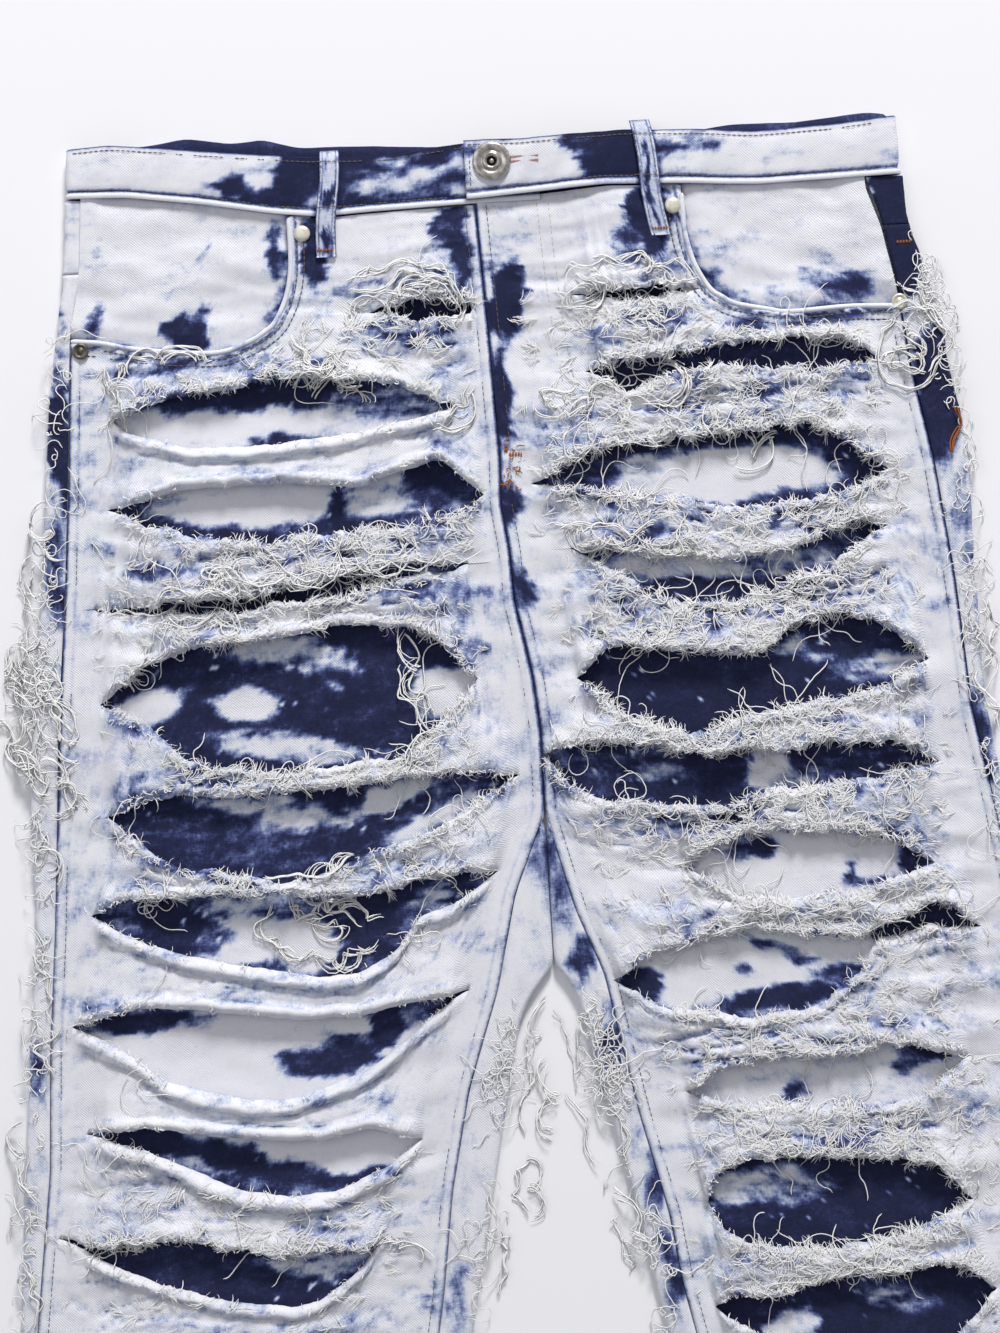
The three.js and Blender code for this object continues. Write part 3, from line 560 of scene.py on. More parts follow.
def new_material(name, roughness=0.9, metallic=0.0):
    """A material and its shader, with two functions: add makes a node, plug fills a node's inputs.

    An input is given a plain value, or the output of another node to link to.
    """
    material = bpy.data.materials.new(name)
    material.use_nodes = True
    nodes, links = material.node_tree.nodes, material.node_tree.links

    def plug(node, inputs):
        for socket, value in inputs.items():
            if isinstance(value, bpy.types.NodeSocket):
                links.new(value, node.inputs[socket])
            else:
                node.inputs[socket].default_value = value

    def add(kind, inputs, **settings):
        node = nodes.new("ShaderNode" + kind)
        for setting, value in settings.items():
            setattr(node, setting, value)
        plug(node, inputs)
        return node

    shader = nodes["Principled BSDF"]
    plug(shader, {"Roughness": roughness, "Metallic": metallic,
                  "Specular IOR Level": 0.5 if metallic else 0.25})
    return material, shader, add, plug


def shades(add, factor, stops):
    """A colour ramp, with its stops as (place, colour)."""
    ramp = add("ValToRGB", {0: factor})
    while len(ramp.color_ramp.elements) < len(stops):
        ramp.color_ramp.elements.new(0.5)
    for element, (at, hex_code) in zip(ramp.color_ramp.elements, stops):
        element.position = at
        element.color = colour(hex_code)
    return ramp.outputs[0]


DYE_SHADES = [(0.0, "#E9E9F0"), (0.12, "#E0E2EC"), (0.3, "#BFC7DD"), (0.5, "#8390B8"),
              (0.7, "#4C5788"), (0.86, "#2A3056"), (1.0, "#1D2240")]


def denim(name, grain=1.0, twill=0.9):
    """Dyed cotton twill. The attribute "cloth" gives the dye in its red and the wool in its green."""
    material, shader, add, plug = new_material(name)
    place = add("TexCoord", {}).outputs["Object"]
    cloth = add("Attribute", {}, attribute_name="cloth").outputs["Color"]
    dye, wool = add("SeparateColor", {0: cloth}).outputs[:2]

    def speckle(scale, detail, stretch=(1, 1, 1), curl=0.0):
        stretched = add("Mapping", {"Scale": stretch, "Vector": place}).outputs["Vector"]
        return add("TexNoise", {"Scale": scale, "Detail": detail, "Distortion": curl,
                                "Vector": stretched}).outputs["Fac"]

    def maths(kind, a, b, clamp=False):
        return add("Math", {0: a, 1: b}, operation=kind, use_clamp=clamp).outputs[0]

    # yarns take the dye unevenly, most of all where it is half bleached, and wool hides some of it
    blotch = maths("MULTIPLY", maths("SUBTRACT", speckle(420, 4), 0.5), 0.30 * grain)
    yarn = maths("MULTIPLY", maths("SUBTRACT", speckle(620, 3, (0.6, 1.9, 1)), 0.5), 0.24 * grain)
    slub = maths("MULTIPLY", maths("SUBTRACT", speckle(560, 3, (1.8, 0.6, 1)), 0.5), 0.22 * grain)
    uneven = maths("ADD", maths("ADD", blotch, yarn), slub)
    half_dyed = maths("MULTIPLY", dye, maths("SUBTRACT", 1, dye))
    amount = maths("ADD", maths("MULTIPLY", half_dyed, 4.2), 0.6)
    rubbed = maths("MULTIPLY", wool, maths("MULTIPLY", speckle(430, 3), -0.3))
    worn = maths("ADD", dye, maths("MULTIPLY", rubbed, dye))
    dyed = maths("ADD", worn, maths("MULTIPLY", uneven, amount), True)

    # the relief of the twill, and deeper tangles where the cloth is woolly
    wave = add("TexWave", {"Scale": 430, "Distortion": 1.5, "Detail": 2, "Vector": place},
               wave_type="BANDS", bands_direction="DIAGONAL")
    weave = maths("ADD", maths("MULTIPLY", wave.outputs["Fac"], 0.5), speckle(900, 3))
    tangle = maths("MULTIPLY", wool, maths("MULTIPLY", speckle(480, 5, curl=1.6), 6.5))
    bump = add("Bump", {"Strength": 0.55 * twill, "Distance": 0.0005,
                        "Height": maths("ADD", weave, tangle)})
    plug(shader, {"Base Color": shades(add, dyed, DYE_SHADES), "Normal": bump.outputs[0]})
    return material


UPWARD_SHADING = 0.62


def yarn_material(name, dark, light):
    """Loose cotton thread, whose colour wanders between two shades. "cloth" says how dark it is."""
    material, shader, add, plug = new_material(name, 0.95)
    place = add("TexCoord", {}).outputs["Object"]
    cloth = add("Attribute", {}, attribute_name="cloth").outputs["Color"]
    dye = add("SeparateColor", {0: cloth}).outputs[0]
    texture = add("TexNoise", {"Scale": 700, "Detail": 3, "Vector": place}).outputs["Fac"]
    shade = add("Math", {0: texture, 1: 0.5, 2: dye}, operation="MULTIPLY_ADD", use_clamp=True)
    bump = add("Bump", {"Strength": 0.4, "Distance": 0.0002, "Height": texture}).outputs[0]
    # loose cotton lets light through, so it shades more like the cloth under it than like a rod
    blend = add("Mix", {}, data_type="VECTOR")
    plug(blend, {"Factor": UPWARD_SHADING, "A": bump, "B": (0, 0.25, 1)})
    unit = add("VectorMath", {0: blend.outputs["Result"]}, operation="NORMALIZE")
    plug(shader, {"Base Color": shades(add, shade.outputs[0], [(0.2, light), (1.0, dark)]),
                  "Normal": unit.outputs[0]})
    return material


def metal(name, base, worn, roughness, metallic):
    """Metal that is duller in patches."""
    material, shader, add, plug = new_material(name, roughness, metallic)
    place = add("TexCoord", {}).outputs["Object"]
    texture = add("TexNoise", {"Scale": 350, "Detail": 6, "Vector": place}).outputs["Fac"]
    bump = add("Bump", {"Strength": 0.25, "Distance": 0.0002, "Height": texture}).outputs[0]
    plug(shader, {"Base Color": shades(add, texture, [(0.35, worn), (0.68, base)]), "Normal": bump})
    return material


FRONT_DENIM = denim("front_denim")
BACKING_DENIM = denim("backing_denim", grain=0.9)
BACK_DENIM = denim("back_denim")
TRIM_DENIM = denim("trim_denim", grain=0.8)
FRAYED = yarn_material("frayed_thread", "#A9B4D0", "#FBFAF9")
GREY_THREAD = yarn_material("grey_thread", "#33303A", "#6B625C")
TAN_THREAD = yarn_material("tan_thread", "#8F8A80", "#C9C2B4")
ORANGE_THREAD = yarn_material("orange_thread", "#6B3518", "#A8642F")
BUTTON_METAL = metal("button_metal", "#D6D1CC", "#97918B", 0.3, 0.85)
RIVET_METAL = metal("rivet_metal", "#F0ECE0", "#CFC9BB", 0.35, 0.35)
DARK_RIVET = metal("dark_rivet_metal", "#8A8378", "#4C4740", 0.45, 0.8)
# a near-black sheet of painted shade for the hollow in the button
DARK = new_material("painted_shade_black", 0.8)[0]
DARK.node_tree.nodes["Principled BSDF"].inputs["Base Color"].default_value = colour("#17140F")

# ---------------------------------------------------------------- height map
# It is raised as each piece is made, so that threads and stitches can lie on the cloth.
CELL = 2.0
MAP_X, MAP_Y = 400, 580       # how far the map reaches to each side of the middle
heights = np.zeros((int(2 * MAP_Y / CELL), int(2 * MAP_X / CELL)), np.float32)


def cells(x, y):
    """Row and column of the map at a place."""
    column = np.clip(((x + MAP_X) / CELL).astype(int), 0, heights.shape[1] - 1)
    row = np.clip(((y + MAP_Y) / CELL).astype(int), 0, heights.shape[0] - 1)
    return row, column


def add_heights(points):
    """Raises the map to the points that stand above it."""
    row, column = cells(points[:, 0], points[:, 1])
    np.maximum.at(heights, (row, column), points[:, 2].astype(np.float32))


def height_at(x, y):
    """Height of the highest piece so far at a place."""
    return heights[cells(x, y)]


# ---------------------------------------------------------------- the outer fronts
COLUMNS = 132
SEAM_GAP = 0.2                # between the sewn edges of neighbouring pieces
BAND_ROW = 1.75               # between the rows of points down a band of cloth
NARROWEST_BAND = 2.5          # between two slashes
SLASH_END = 9                 # the edges turn ragged over this much at each end of a slash
OPEN_AT = 7                   # a slash this wide leaves its edges wholly free
POCKET_BANDS = 2              # the pocket openings reach into so many bands below the waist
CURL = [(-0.5, 1.0), (0.5, 2.6), (2.2, 3.0)]     # rows of a curled edge: how far in, how far down
POCKET_TOP = -20              # the pocket openings are closed above the waist, at this drop
SNAP = 3.2                    # points this close to the pocket edge are moved onto it
BLEACHED_FROM = 330           # the furry bands are bleached whiter below this drop, by so much
BLEACHED = {"left": 0.4, "right": 0.62}
SEAM_LINE = 5.2              # the dark line beside a seam lies this far from it


def inside(polygon, x, drop):
    """Which places lie within a closed outline."""
    result = np.zeros(np.shape(x), bool)
    for (x0, d0), (x1, d1) in zip(polygon, polygon[1:] + polygon[:1]):
        crosses = (d0 > drop) != (d1 > drop)
        with np.errstate(divide="ignore", invalid="ignore"):
            at = x0 + (drop - d0) * (x1 - x0) / (d1 - d0 if d1 != d0 else 1e-9)
        result ^= crosses & (x < at)
    return result


def nearest_on(route, x, drop):
    """The closest place on an open line, and how far it is."""
    best = np.full(np.shape(x), 1e9)
    bx, bd = np.array(x, float), np.array(drop, float)
    for (x0, d0), (x1, d1) in zip(route, route[1:]):
        length = (x1 - x0) ** 2 + (d1 - d0) ** 2
        t = np.clip(((x - x0) * (x1 - x0) + (drop - d0) * (d1 - d0)) / length, 0, 1)
        px, pd = x0 + t * (x1 - x0), d0 + t * (d1 - d0)
        far = np.hypot(x - px, drop - pd)
        better = far < best
        best = np.where(better, far, best)
        bx, bd = np.where(better, px, bx), np.where(better, pd, bd)
    return bx, bd, best


def smooth_route(points, step=2.0):
    """The same route rounded by a spline and cut into even steps."""
    p = np.array(points, float)
    q = np.vstack([2 * p[0] - p[1], p, 2 * p[-1] - p[-2]])
    out = []
    for k in range(1, len(q) - 2):
        count = max(2, int(np.hypot(*(q[k + 1] - q[k])[:2]) / step))
        t = np.linspace(0, 1, count, endpoint=False)[:, None]
        out.append(0.5 * (2 * q[k] + (q[k + 1] - q[k - 1]) * t
                          + (2 * q[k - 1] - 5 * q[k] + 4 * q[k + 1] - q[k + 2]) * t ** 2
                          + (3 * q[k] - q[k - 1] - 3 * q[k + 1] + q[k + 2]) * t ** 3))
    out.append(p[-1:])
    return np.concatenate(out)


def pocket_opening(side, step):
    """The pocket's edge, and the outline of what is open beyond it."""
    route = [tuple(p) for p in smooth_route(POCKET_EDGE[side], step)]
    return route, route + [(route[-1][0], POCKET_TOP), (route[0][0], POCKET_TOP)]


def across(side, drop, share, gap=SEAM_GAP):
    """x at a share of the way from the inseam to the outseam."""
    sign = MIRROR[side]
    return mix(INSEAM[side](drop) + sign * gap, OUTSEAM[side](drop) - sign * gap, share)


def slash_lines(side, share):
    """x and drop of the waist, of both edges of every slash and of the hem, at each column."""
    columns = len(share)

    def settled(rule):
        """Where each column meets a line that is known as a function of x."""
        drop = np.full(columns, 300.0)
        x = across(side, drop, share, 0)
        for _ in range(8):
            drop = rule(x)
            x = across(side, drop, share)
        return x, drop

    lines = [settled(lambda x: FRONT_WAIST[side](x) + 0.6)]
    for k, (upper, lower) in enumerate(SLASHES[side]):
        edges = []
        x0, x1 = min(upper[0][0], upper[-1][0]), max(upper[0][0], upper[-1][0])
        for which, points in enumerate((upper, lower)):
            rule = line(points)
            rough = 0.35 + 1.2 * (BANDS[side][k + 1][3] if which else BANDS[side][k][4])

            def ragged(x, rule=rule, which=which, rough=rough):
                open_here = smooth((x - x0) / SLASH_END) * smooth((x1 - x) / SLASH_END)
                jag = fbm(x / 7, 10 * k + 3 * which, 31) * 1.7 + fbm(x / 2.2, k + 7 * which, 37) * 1.0
                jag = jag + fbm(x / 19, 5 * k + which, 39, 2) * 1.6
                return rule(np.clip(x, x0, x1)) + jag * rough * open_here

            edges.append(settled(ragged))
        (ux, ud), (lx, ld) = edges
        closed = (ux < x0) | (ux > x1)
        middle = (ud + ld) / 2
        lines.append((ux, np.where(closed, middle, np.minimum(ud, ld))))
        lines.append((lx, np.where(closed, middle, np.maximum(ud, ld))))
    lines.append((across(side, HEM, share, 0), np.full(columns, float(HEM))))
    for k in range(1, len(lines)):
        x, drop = lines[k]
        least = lines[k - 1][1] + (NARROWEST_BAND if k % 2 else 0)
        lines[k] = (x, np.maximum(drop, least))
    return lines


def roll(distance, radius):
    """Height of an edge that is rolled over, this far in from it."""
    t = np.clip(distance / np.maximum(radius, 0.001), 0, 2)
    return radius * np.sqrt(np.maximum(0, 1 - (t - 1) ** 2))


def lumps(x, drop):
    """The lumps of furry cloth, from -1 to 1."""
    return fbm(x / 8.5, drop / 5.5, 69, 3)


def front_height(side, x, drop, share, top, bottom, open_top, open_bottom, band):
    """Height of the outer cloth over the floor, across a band between drops top and bottom."""
    roll_top, roll_bottom, folds, fur_top, fur_bottom = band
    sign = MIRROR[side]
    z = seat_lift(drop) + FLAT
    depth = np.clip((drop - top) / np.maximum(bottom - top, 1), 0, 1)
    fur = mix(fur_top, fur_bottom, depth)
    loose = open_top * (1 - depth) + open_bottom * depth
    middle = smooth(np.minimum(share, 1 - share) / 0.09)
    long_folds = fbm(x / 70 + 3 * sign, drop / 8 + fbm(x / 60, drop / 60, 81) * 1.4, 61, 3)
    cross = fbm(x / 26, drop / 22, 67 + sign, 3)
    wool = fbm(x / 2.6, drop / 2.6, 73, 2)
    amount = mix(0.5, folds, loose) * middle
    z = z + amount * (2.4 + 1.2 * fur) * long_folds + 1.2 * amount * cross
    z = z + fur * loose * (1.9 * lumps(x, drop) + 0.9 * wool)
    z = z - crease_lines(side, x, drop) * (1.1 * amount + (0.9 + 0.8 * fur) * loose * middle)
    z = z + 0.25 * fbm(x / 9, drop / 5, 71)
    wobble = 1 + 0.3 * fbm(x / 24, 1.3 * roll_top, 75)
    for opened, away, radius, rise in ((open_top, drop - top, roll_top * wobble, TOP_RISE),
                                       (open_bottom, bottom - drop, roll_bottom * wobble, BOTTOM_RISE)):
        groove = bell(away, 2 * radius, 1.1) * smooth((radius - 2) / 0.8)
        z = z + opened * (roll(away, radius) + rise * np.exp(-away / 16) - 1.6 * groove)
    body = np.minimum(drop - top, bottom - drop)
    return z + (0.8 + 2.2 * fur) * smooth(body / 6) * loose * middle


def crease_lines(side, x, drop):
    """1 in the narrow creases that run along the bands, 0 away from them."""
    winding = fbm(x / 60 + 2, drop / 7.5 + fbm(x / 50, drop / 50, 83) * 1.5, 85 + MIRROR[side], 3)
    broken = smooth(fbm(x / 30, drop / 10, 87, 2) * 2.5 + 0.6)
    return bell(winding, 0, 0.07) * broken


def painted_crease_shade(drop, top, bottom, open_top, open_bottom, band):
    """Painted shade: a dark line in the crease behind each edge that is rolled far enough to have one.
    """
    roll_top, roll_bottom = band[:2]
    line_top = bell(drop - top, 2 * roll_top, 0.8) * open_top * (roll_top > 2.5)
    line_bottom = bell(bottom - drop, 2 * roll_bottom, 0.8) * open_bottom * (roll_bottom > 2.5)
    return 0.22 * np.maximum(line_top, line_bottom)


def seam_ridges(from_out, from_in):
    """The ridge beside the seams down both sides of a front, and the groove where they meet."""
    ridge = 0.9 * bell(from_out, 2.5, 1.8) + 0.9 * bell(from_in, 2.5, 1.8)
    return ridge - 0.5 * smooth(1 - from_out / 1.2) - 0.5 * smooth(1 - from_in / 1.2)


def front_dye(side, x, drop, t, top, bottom, open_top, open_bottom, from_out, from_in, band):
    """Dye and wool over a band of a front. t is the share of the way down the band."""
    sign = MIRROR[side]
    wash = 0.06 + 0.16 * smooth(fbm(x / 34, drop / 16, 91, 4) * 2.2)
    dye = dye_field(x, drop, FRONT_DYE[side], wash, 5)
    fur = mix(band[3], band[4], t)
    near_edge = np.maximum(open_top * np.exp(-(drop - top) / 5),
                           open_bottom * np.exp(-(bottom - drop) / 5))
    dye = dye + painted_crease_shade(drop, top, bottom, open_top, open_bottom, band)
    whiter = BLEACHED[side] * smooth((drop - BLEACHED_FROM) / 70)
    mottle = smooth(fbm(x / 9, drop / 5, 93 + sign) * 1.6 - 0.05)
    dye = dye + near_edge * (0.02 + 0.48 * fur * (1 - 0.8 * whiter)) * mottle
    # painted shade in the hollows between the lumps of furry cloth, and a blue tint over the whole of
    # it
    painted_hollow_shade = smooth(0.1 - lumps(x, drop) * 1.8)
    loose = open_top * (1 - t) + open_bottom * t
    tinted = smooth(fbm(x / 26, drop / 13, 92 + sign, 3) * 2.2 + 0.45) * (1 - whiter)
    dye = dye + fur * loose * (0.58 * painted_hollow_shade + 0.24) * tinted
    beside_seam = np.maximum(bell(from_out, SEAM_LINE, 0.9), bell(from_in, SEAM_LINE, 0.9))
    dye = dye + 0.28 * beside_seam * (0.6 + 0.4 * fbm(drop / 12, x / 3, 95))
    seam_dark = np.where(drop < CROTCH, 0.9, 0.55 + 0.25 * fbm(drop / 30, x / 50, 96))
    dye = np.maximum(dye, seam_dark * smooth(1.4 - np.minimum(from_out, from_in)))
    # painted shade along the narrow creases that run along the bands
    dye = dye + crease_lines(side, x, drop) * (0.1 + loose * (0.1 + 0.35 * fur))
    wool = np.maximum(near_edge, 0.75 * loose) * fur * (0.8 + 0.4 * fbm(x / 6, drop / 4, 97))
    return dye, wool


TURNED_EDGE = 1.6             # how far into the front the pocket's turned edge has its middle,
TURNED_SHADE = 2.6            # where the painted shadow line behind it lies,
STITCHED = 6.5                # and the groove of its stitches


def pocket_edge_marks(far, gone, x, drop):
    """Height and dye along the pocket's turned edge, with a painted shadow beside it: a factor on the
    dye, and what is added.
    """
    turned_edge = smooth(1 - np.abs(far - TURNED_EDGE) / 1.8) * ~gone
    painted_shadow = bell(far, TURNED_SHADE, 0.8) * ~gone
    stitched = bell(far, STITCHED, 1.6) * ~gone
    # painted shadow beside the turned edge, and dye along the groove of its stitches
    added = 0.7 * painted_shadow + 0.25 * stitched * (0.7 + 0.3 * fbm(x / 5, drop / 5, 99))
    return 0.9 * turned_edge - 0.35 * stitched, 1 - 0.8 * turned_edge, added


def with_rows(grid, start, rows):
    """Adds rows beyond the first row (start 0) or the last (start -1).

    Each is given by how much its drop and its height differ from that row's.
    """
    x, drop, z, dye, wool = (g[start] for g in grid)
    for further, higher in rows:
        row = (x, drop + further, z + higher, dye, wool)
        pairs = [(g, r[None]) if start else (r[None], g) for g, r in zip(grid, row)]
        grid = [np.vstack(pair) for pair in pairs]
    return grid


def curled_edge(grid, start, opened):
    """Adds the rows where an open edge rolls under."""
    way = -1 if start else 1
    return with_rows(grid, start, [(way * tuck * opened, -down * opened) for tuck, down in CURL])


def turned_hem(grid):
    """Adds the rows where the hem turns under."""
    return with_rows(grid, -1, [(0.5, -0.8), (-0.2, -1.6), (-14, -1.6)])


def band_depths(height, last):
    """Shares of the way down a band where its rows lie. The lowest has longer rows to the hem."""
    if last:
        return np.concatenate([np.linspace(0, 60, 24), np.linspace(67, height, 50)]) / height
    return np.linspace(0, 1, max(6, int(height / BAND_ROW)))


def front_piece(side):
    """A slashed front, and what edge_fuzz and band_shag need to know about each of its bands."""
    share = np.linspace(0, 1, COLUMNS)
    lines = slash_lines(side, share)
    parts, edges = [], []
    pocket, opening = pocket_opening(side, 2)
    for k in range(0, len(lines) - 1, 2):
        band = BANDS[side][k // 2]
        last = k == len(lines) - 2
        top, bottom = lines[k][1], lines[k + 1][1]
        open_top = smooth((top - lines[k - 1][1]) / OPEN_AT) if k else np.zeros(COLUMNS)
        open_bottom = np.zeros(COLUMNS) if last else smooth((lines[k + 2][1] - bottom) / OPEN_AT)
        t = band_depths(np.median(bottom - top), last)[:, None]
        drop = mix(top, bottom, t)
        x = across(side, drop, share)
        width = np.abs(OUTSEAM[side](drop) - INSEAM[side](drop))
        from_out, from_in = (1 - share) * width, share * width
        z = front_height(side, x, drop, share, top, bottom, open_top, open_bottom, band)
        z = z + seam_ridges(from_out, from_in)
        real_drop = drop + hem_tilt(drop) * (0.5 - share)
        dye, wool = front_dye(side, x, drop, t, top, bottom, open_top, open_bottom,
                              from_out, from_in, band)
        by_pocket = k // 2 < POCKET_BANDS
        if by_pocket:
            gone = inside(opening, x, drop)
            px, pd, far = nearest_on(pocket, x, drop)
            rise, kept_dye, added_dye_and_shadow = pocket_edge_marks(far, gone, x, drop)
            z, dye = z + rise, dye * kept_dye + added_dye_and_shadow
            snap = gone & (far < SNAP)
            x, real_drop = np.where(snap, px, x), np.where(snap, pd, drop)
            z = np.where(snap, seat_lift(real_drop) + FLAT - 0.6, z)
        grid = [x, real_drop, z, dye, wool]
        added = [0, 0]
        for start, opened in ((0, open_top), (-1, open_bottom)):
            if opened.max() > 0.1:
                grid = curled_edge(grid, start, opened)
                added[start] = len(CURL)
        if last:
            grid = turned_hem(grid)
        x, real_drop, z, dye, wool = grid
        faces = grid_faces(*x.shape)
        if by_pocket:
            kept = np.pad(~gone | snap, (added, (0, 0)), mode="edge").ravel()
            free = np.pad(~snap, (added, (0, 0)), mode="edge").ravel()
            faces = faces[kept[faces].all(1)]
            faces = faces[free[faces].any(1)]
        points = world_points(x, real_drop, z)
        parts.append((points, faces, cloth_values(dye, wool)))
        edges.append((k // 2, lines[k], lines[k + 1], open_top, open_bottom, band))
        if not last:
            add_heights(points)
    points, faces, cloth = joined(parts)
    add_heights(points)
    points, faces, cloth = without_strays(points, faces, cloth)
    ob = mesh_object(f"front_{side}", points, faces, FRONT_DENIM, cloth, weld=True)
    return ob, edges


def without_strays(points, faces, cloth):
    """Drops the points that no face uses."""
    used = np.zeros(len(points), bool)
    used[faces] = True
    renumber = np.cumsum(used) - 1
    return points[used], renumber[faces], cloth[used]


# ---------------------------------------------------------------- the layer behind
BACKING_TOP = 72
BACKING_END = 800
BACKING_INSET = 4             # it is sewn in this far from the seams


def backing_height(x, drop):
    """Height of the backing, which sinks towards its upper edge under the front."""
    z = seat_lift(drop) + BACKING_Z - 0.3 - 2 * smooth((112 - drop) / 8)
    return z + 0.7 * fbm(x / 40, drop / 18, 43) + 0.35 * fbm(x / 12, drop / 9, 47)


def backing_piece(side):
    """The whole layer of cloth behind the slashes."""
    share = np.linspace(0, 1, 108)
    drop = np.concatenate([np.arange(BACKING_TOP, 630, 2.1), np.arange(630, BACKING_END + 1, 8.0)])
    drop = drop[:, None]
    x = across(side, drop, share, BACKING_INSET)
    drop = np.broadcast_to(drop, x.shape)
    z = backing_height(x, drop)
    real_drop = drop + hem_tilt(drop) * (0.5 - share)
    base = 0.82 + 0.1 * fbm(x / 25, drop / 20, 51)
    dye = dye_field(x, drop, BACKING_DYE[side], base, 11)
    wash = fbm(x / 11, drop / 7, 53, 5)
    dye = dye - 0.13 * smooth(dye) * np.clip(wash * 2, 0, 1) + 0.05 * wash
    # small bleach specks, in drifts
    swirl = 2.5 * fbm(x / 9, drop / 9, 59)
    specks = noise(x / 2.9 + swirl, drop / 2.3 - 1.3 * swirl, 57)
    specks = smooth((specks - 0.8) * 9) * (dye > 0.6)
    specks = specks * smooth(fbm(x / 24, drop / 20, 58, 2) * 3 + 0.4)
    dye = dye * (1 - 0.9 * specks)
    points = world_points(x, real_drop, z)
    add_heights(points)
    return mesh_object(f"backing_{side}", points, grid_faces(*x.shape), BACKING_DENIM,
                       cloth_values(dye))


FACING_END = 122.0
FACING_MARGIN = 13            # how far it goes on under the front


def facing_piece(side):
    """The side piece seen in the pocket opening, with a margin under the front."""
    sign = MIRROR[side]
    share = np.linspace(0.42, 1, 66)
    t = np.linspace(0, 1, 46)[:, None]
    drop = mix(22.0, FACING_END, t)
    x = mix(INSEAM[side](drop), OUTSEAM[side](drop) - sign * SEAM_GAP, share)
    drop = mix(FRONT_WAIST[side](x) - 3, FACING_END, t)
    route, opening = pocket_opening(side, 3)
    _, _, far = nearest_on(route, x, drop)
    keep = inside(opening, x, drop) | (far < FACING_MARGIN)
    sewn = smooth((share - 0.9) / 0.09) * smooth((92 - drop) / 8)
    z = seat_lift(drop) + mix(BACKING_Z, FLAT, sewn) + 0.2
    z = z + 2.2 * fbm(x / 44 + drop / 60, drop / 16 - x / 90, 21, 3) + 0.4 * fbm(x / 11, drop / 8, 23)
    z = z - 1.4 * smooth(1 - far / 9) * (1 - sewn)
    z = np.minimum(z, seat_lift(drop) + FLAT + 0.4)
    wash = 0.05 + 0.15 * smooth(fbm(x / 28, drop / 13, 25) * 2.2)
    dye = dye_field(x, drop, FACING_DYE[side], wash, 29)
    # painted shade on the facing along the pocket's edge, where it lies under the turned edge and the
    # front
    near = smooth(1 - far / 6) * smooth(fbm(x / 12, drop / 12, 27) * 1.5 + 0.35)
    dye = dye + 0.5 * near + 0.5 * smooth(1 - far / 2.6)
    points = world_points(x, drop, z)
    faces = grid_faces(*x.shape)
    faces = faces[keep.ravel()[faces].all(1)]
    points, faces, cloth = without_strays(points, faces, cloth_values(dye))
    add_heights(points)
    return mesh_object(f"facing_{side}", points, faces, FRONT_DENIM, cloth)


# ---------------------------------------------------------------- the back, folded round both sides
BACK_STEP = 6.0               # between its rows below the seat
YOKE_CENTRE, YOKE_SIDE = 95.0, 57.0     # drop of the yoke seam at the seat seam and at the side
YOKE_BLEND = 160              # below this drop the back's rows are level again
OVERLAP = 10                  # columns of the section that lie on top, between fold and outseam
CLOTH_THICKNESS = 1.2


def back_section(side, drop):
    """Section of the back cloth: from the inseam round underneath and up to the outseam."""
    sign = MIRROR[side]
    radius = FLAT / 2
    drop = np.asarray(drop, float)[:, None]
    inner, outer = INNER_FOLD[side](drop), OUTER_FOLD[side](drop)
    inseam, outseam = across(side, drop, 0, -0.3), across(side, drop, 1, -0.3)
    wobble = 1.2 * fbm(drop / 9, 3.3, 101 + sign, 3)
    outer = outer + sign * wobble
    folded = smooth((drop - CROTCH) / 10)

    def arc(x, away, angles):
        a = np.radians(angles)[None, :]
        places = x - away * radius * (1 - np.cos(a))
        return places, np.broadcast_to(radius + radius * np.sin(a), places.shape)

    t = np.linspace(0, 1, 7)[None, :-1]
    turn = np.linspace(90, -90, 9)
    ix, iz = arc(inner, -sign, turn)
    web_x = mix(inseam, ix[:, :1], t)
    web_z = np.full_like(web_x, 2 * radius) + 0.5 * fbm(web_x / 8, drop / 12, 107)
    in_x, in_z = np.hstack([web_x, ix]), np.hstack([web_z, iz])
    flat_x = mix(inner, inner + sign * 2 * radius, np.linspace(0, 1, in_x.shape[1])[None, :])
    in_x, in_z = mix(flat_x, in_x, folded), in_z * folded
    ox, oz = arc(outer, sign, turn[::-1])
    t = np.linspace(0, 1, 7)[None, 1:]
    over_x = mix(ox[:, -1:], outseam, t)
    over_z = np.full_like(over_x, 2 * radius) + 0.4 * fbm(over_x / 8, drop / 12, 109)
    middle = np.linspace(0, 1, 34)[None, 1:-1]
    under_x = mix(in_x[:, -1:], ox[:, :1], middle)
    under_z = np.zeros_like(under_x)
    x = np.hstack([in_x, under_x, ox, over_x])
    z = np.hstack([in_z, under_z, oz, over_z])
    return x, z + seat_lift(drop)


BACK_WAIST = line([(-228, 18), (-120, 27), (0, 32), (120, 33), (204, 31)])


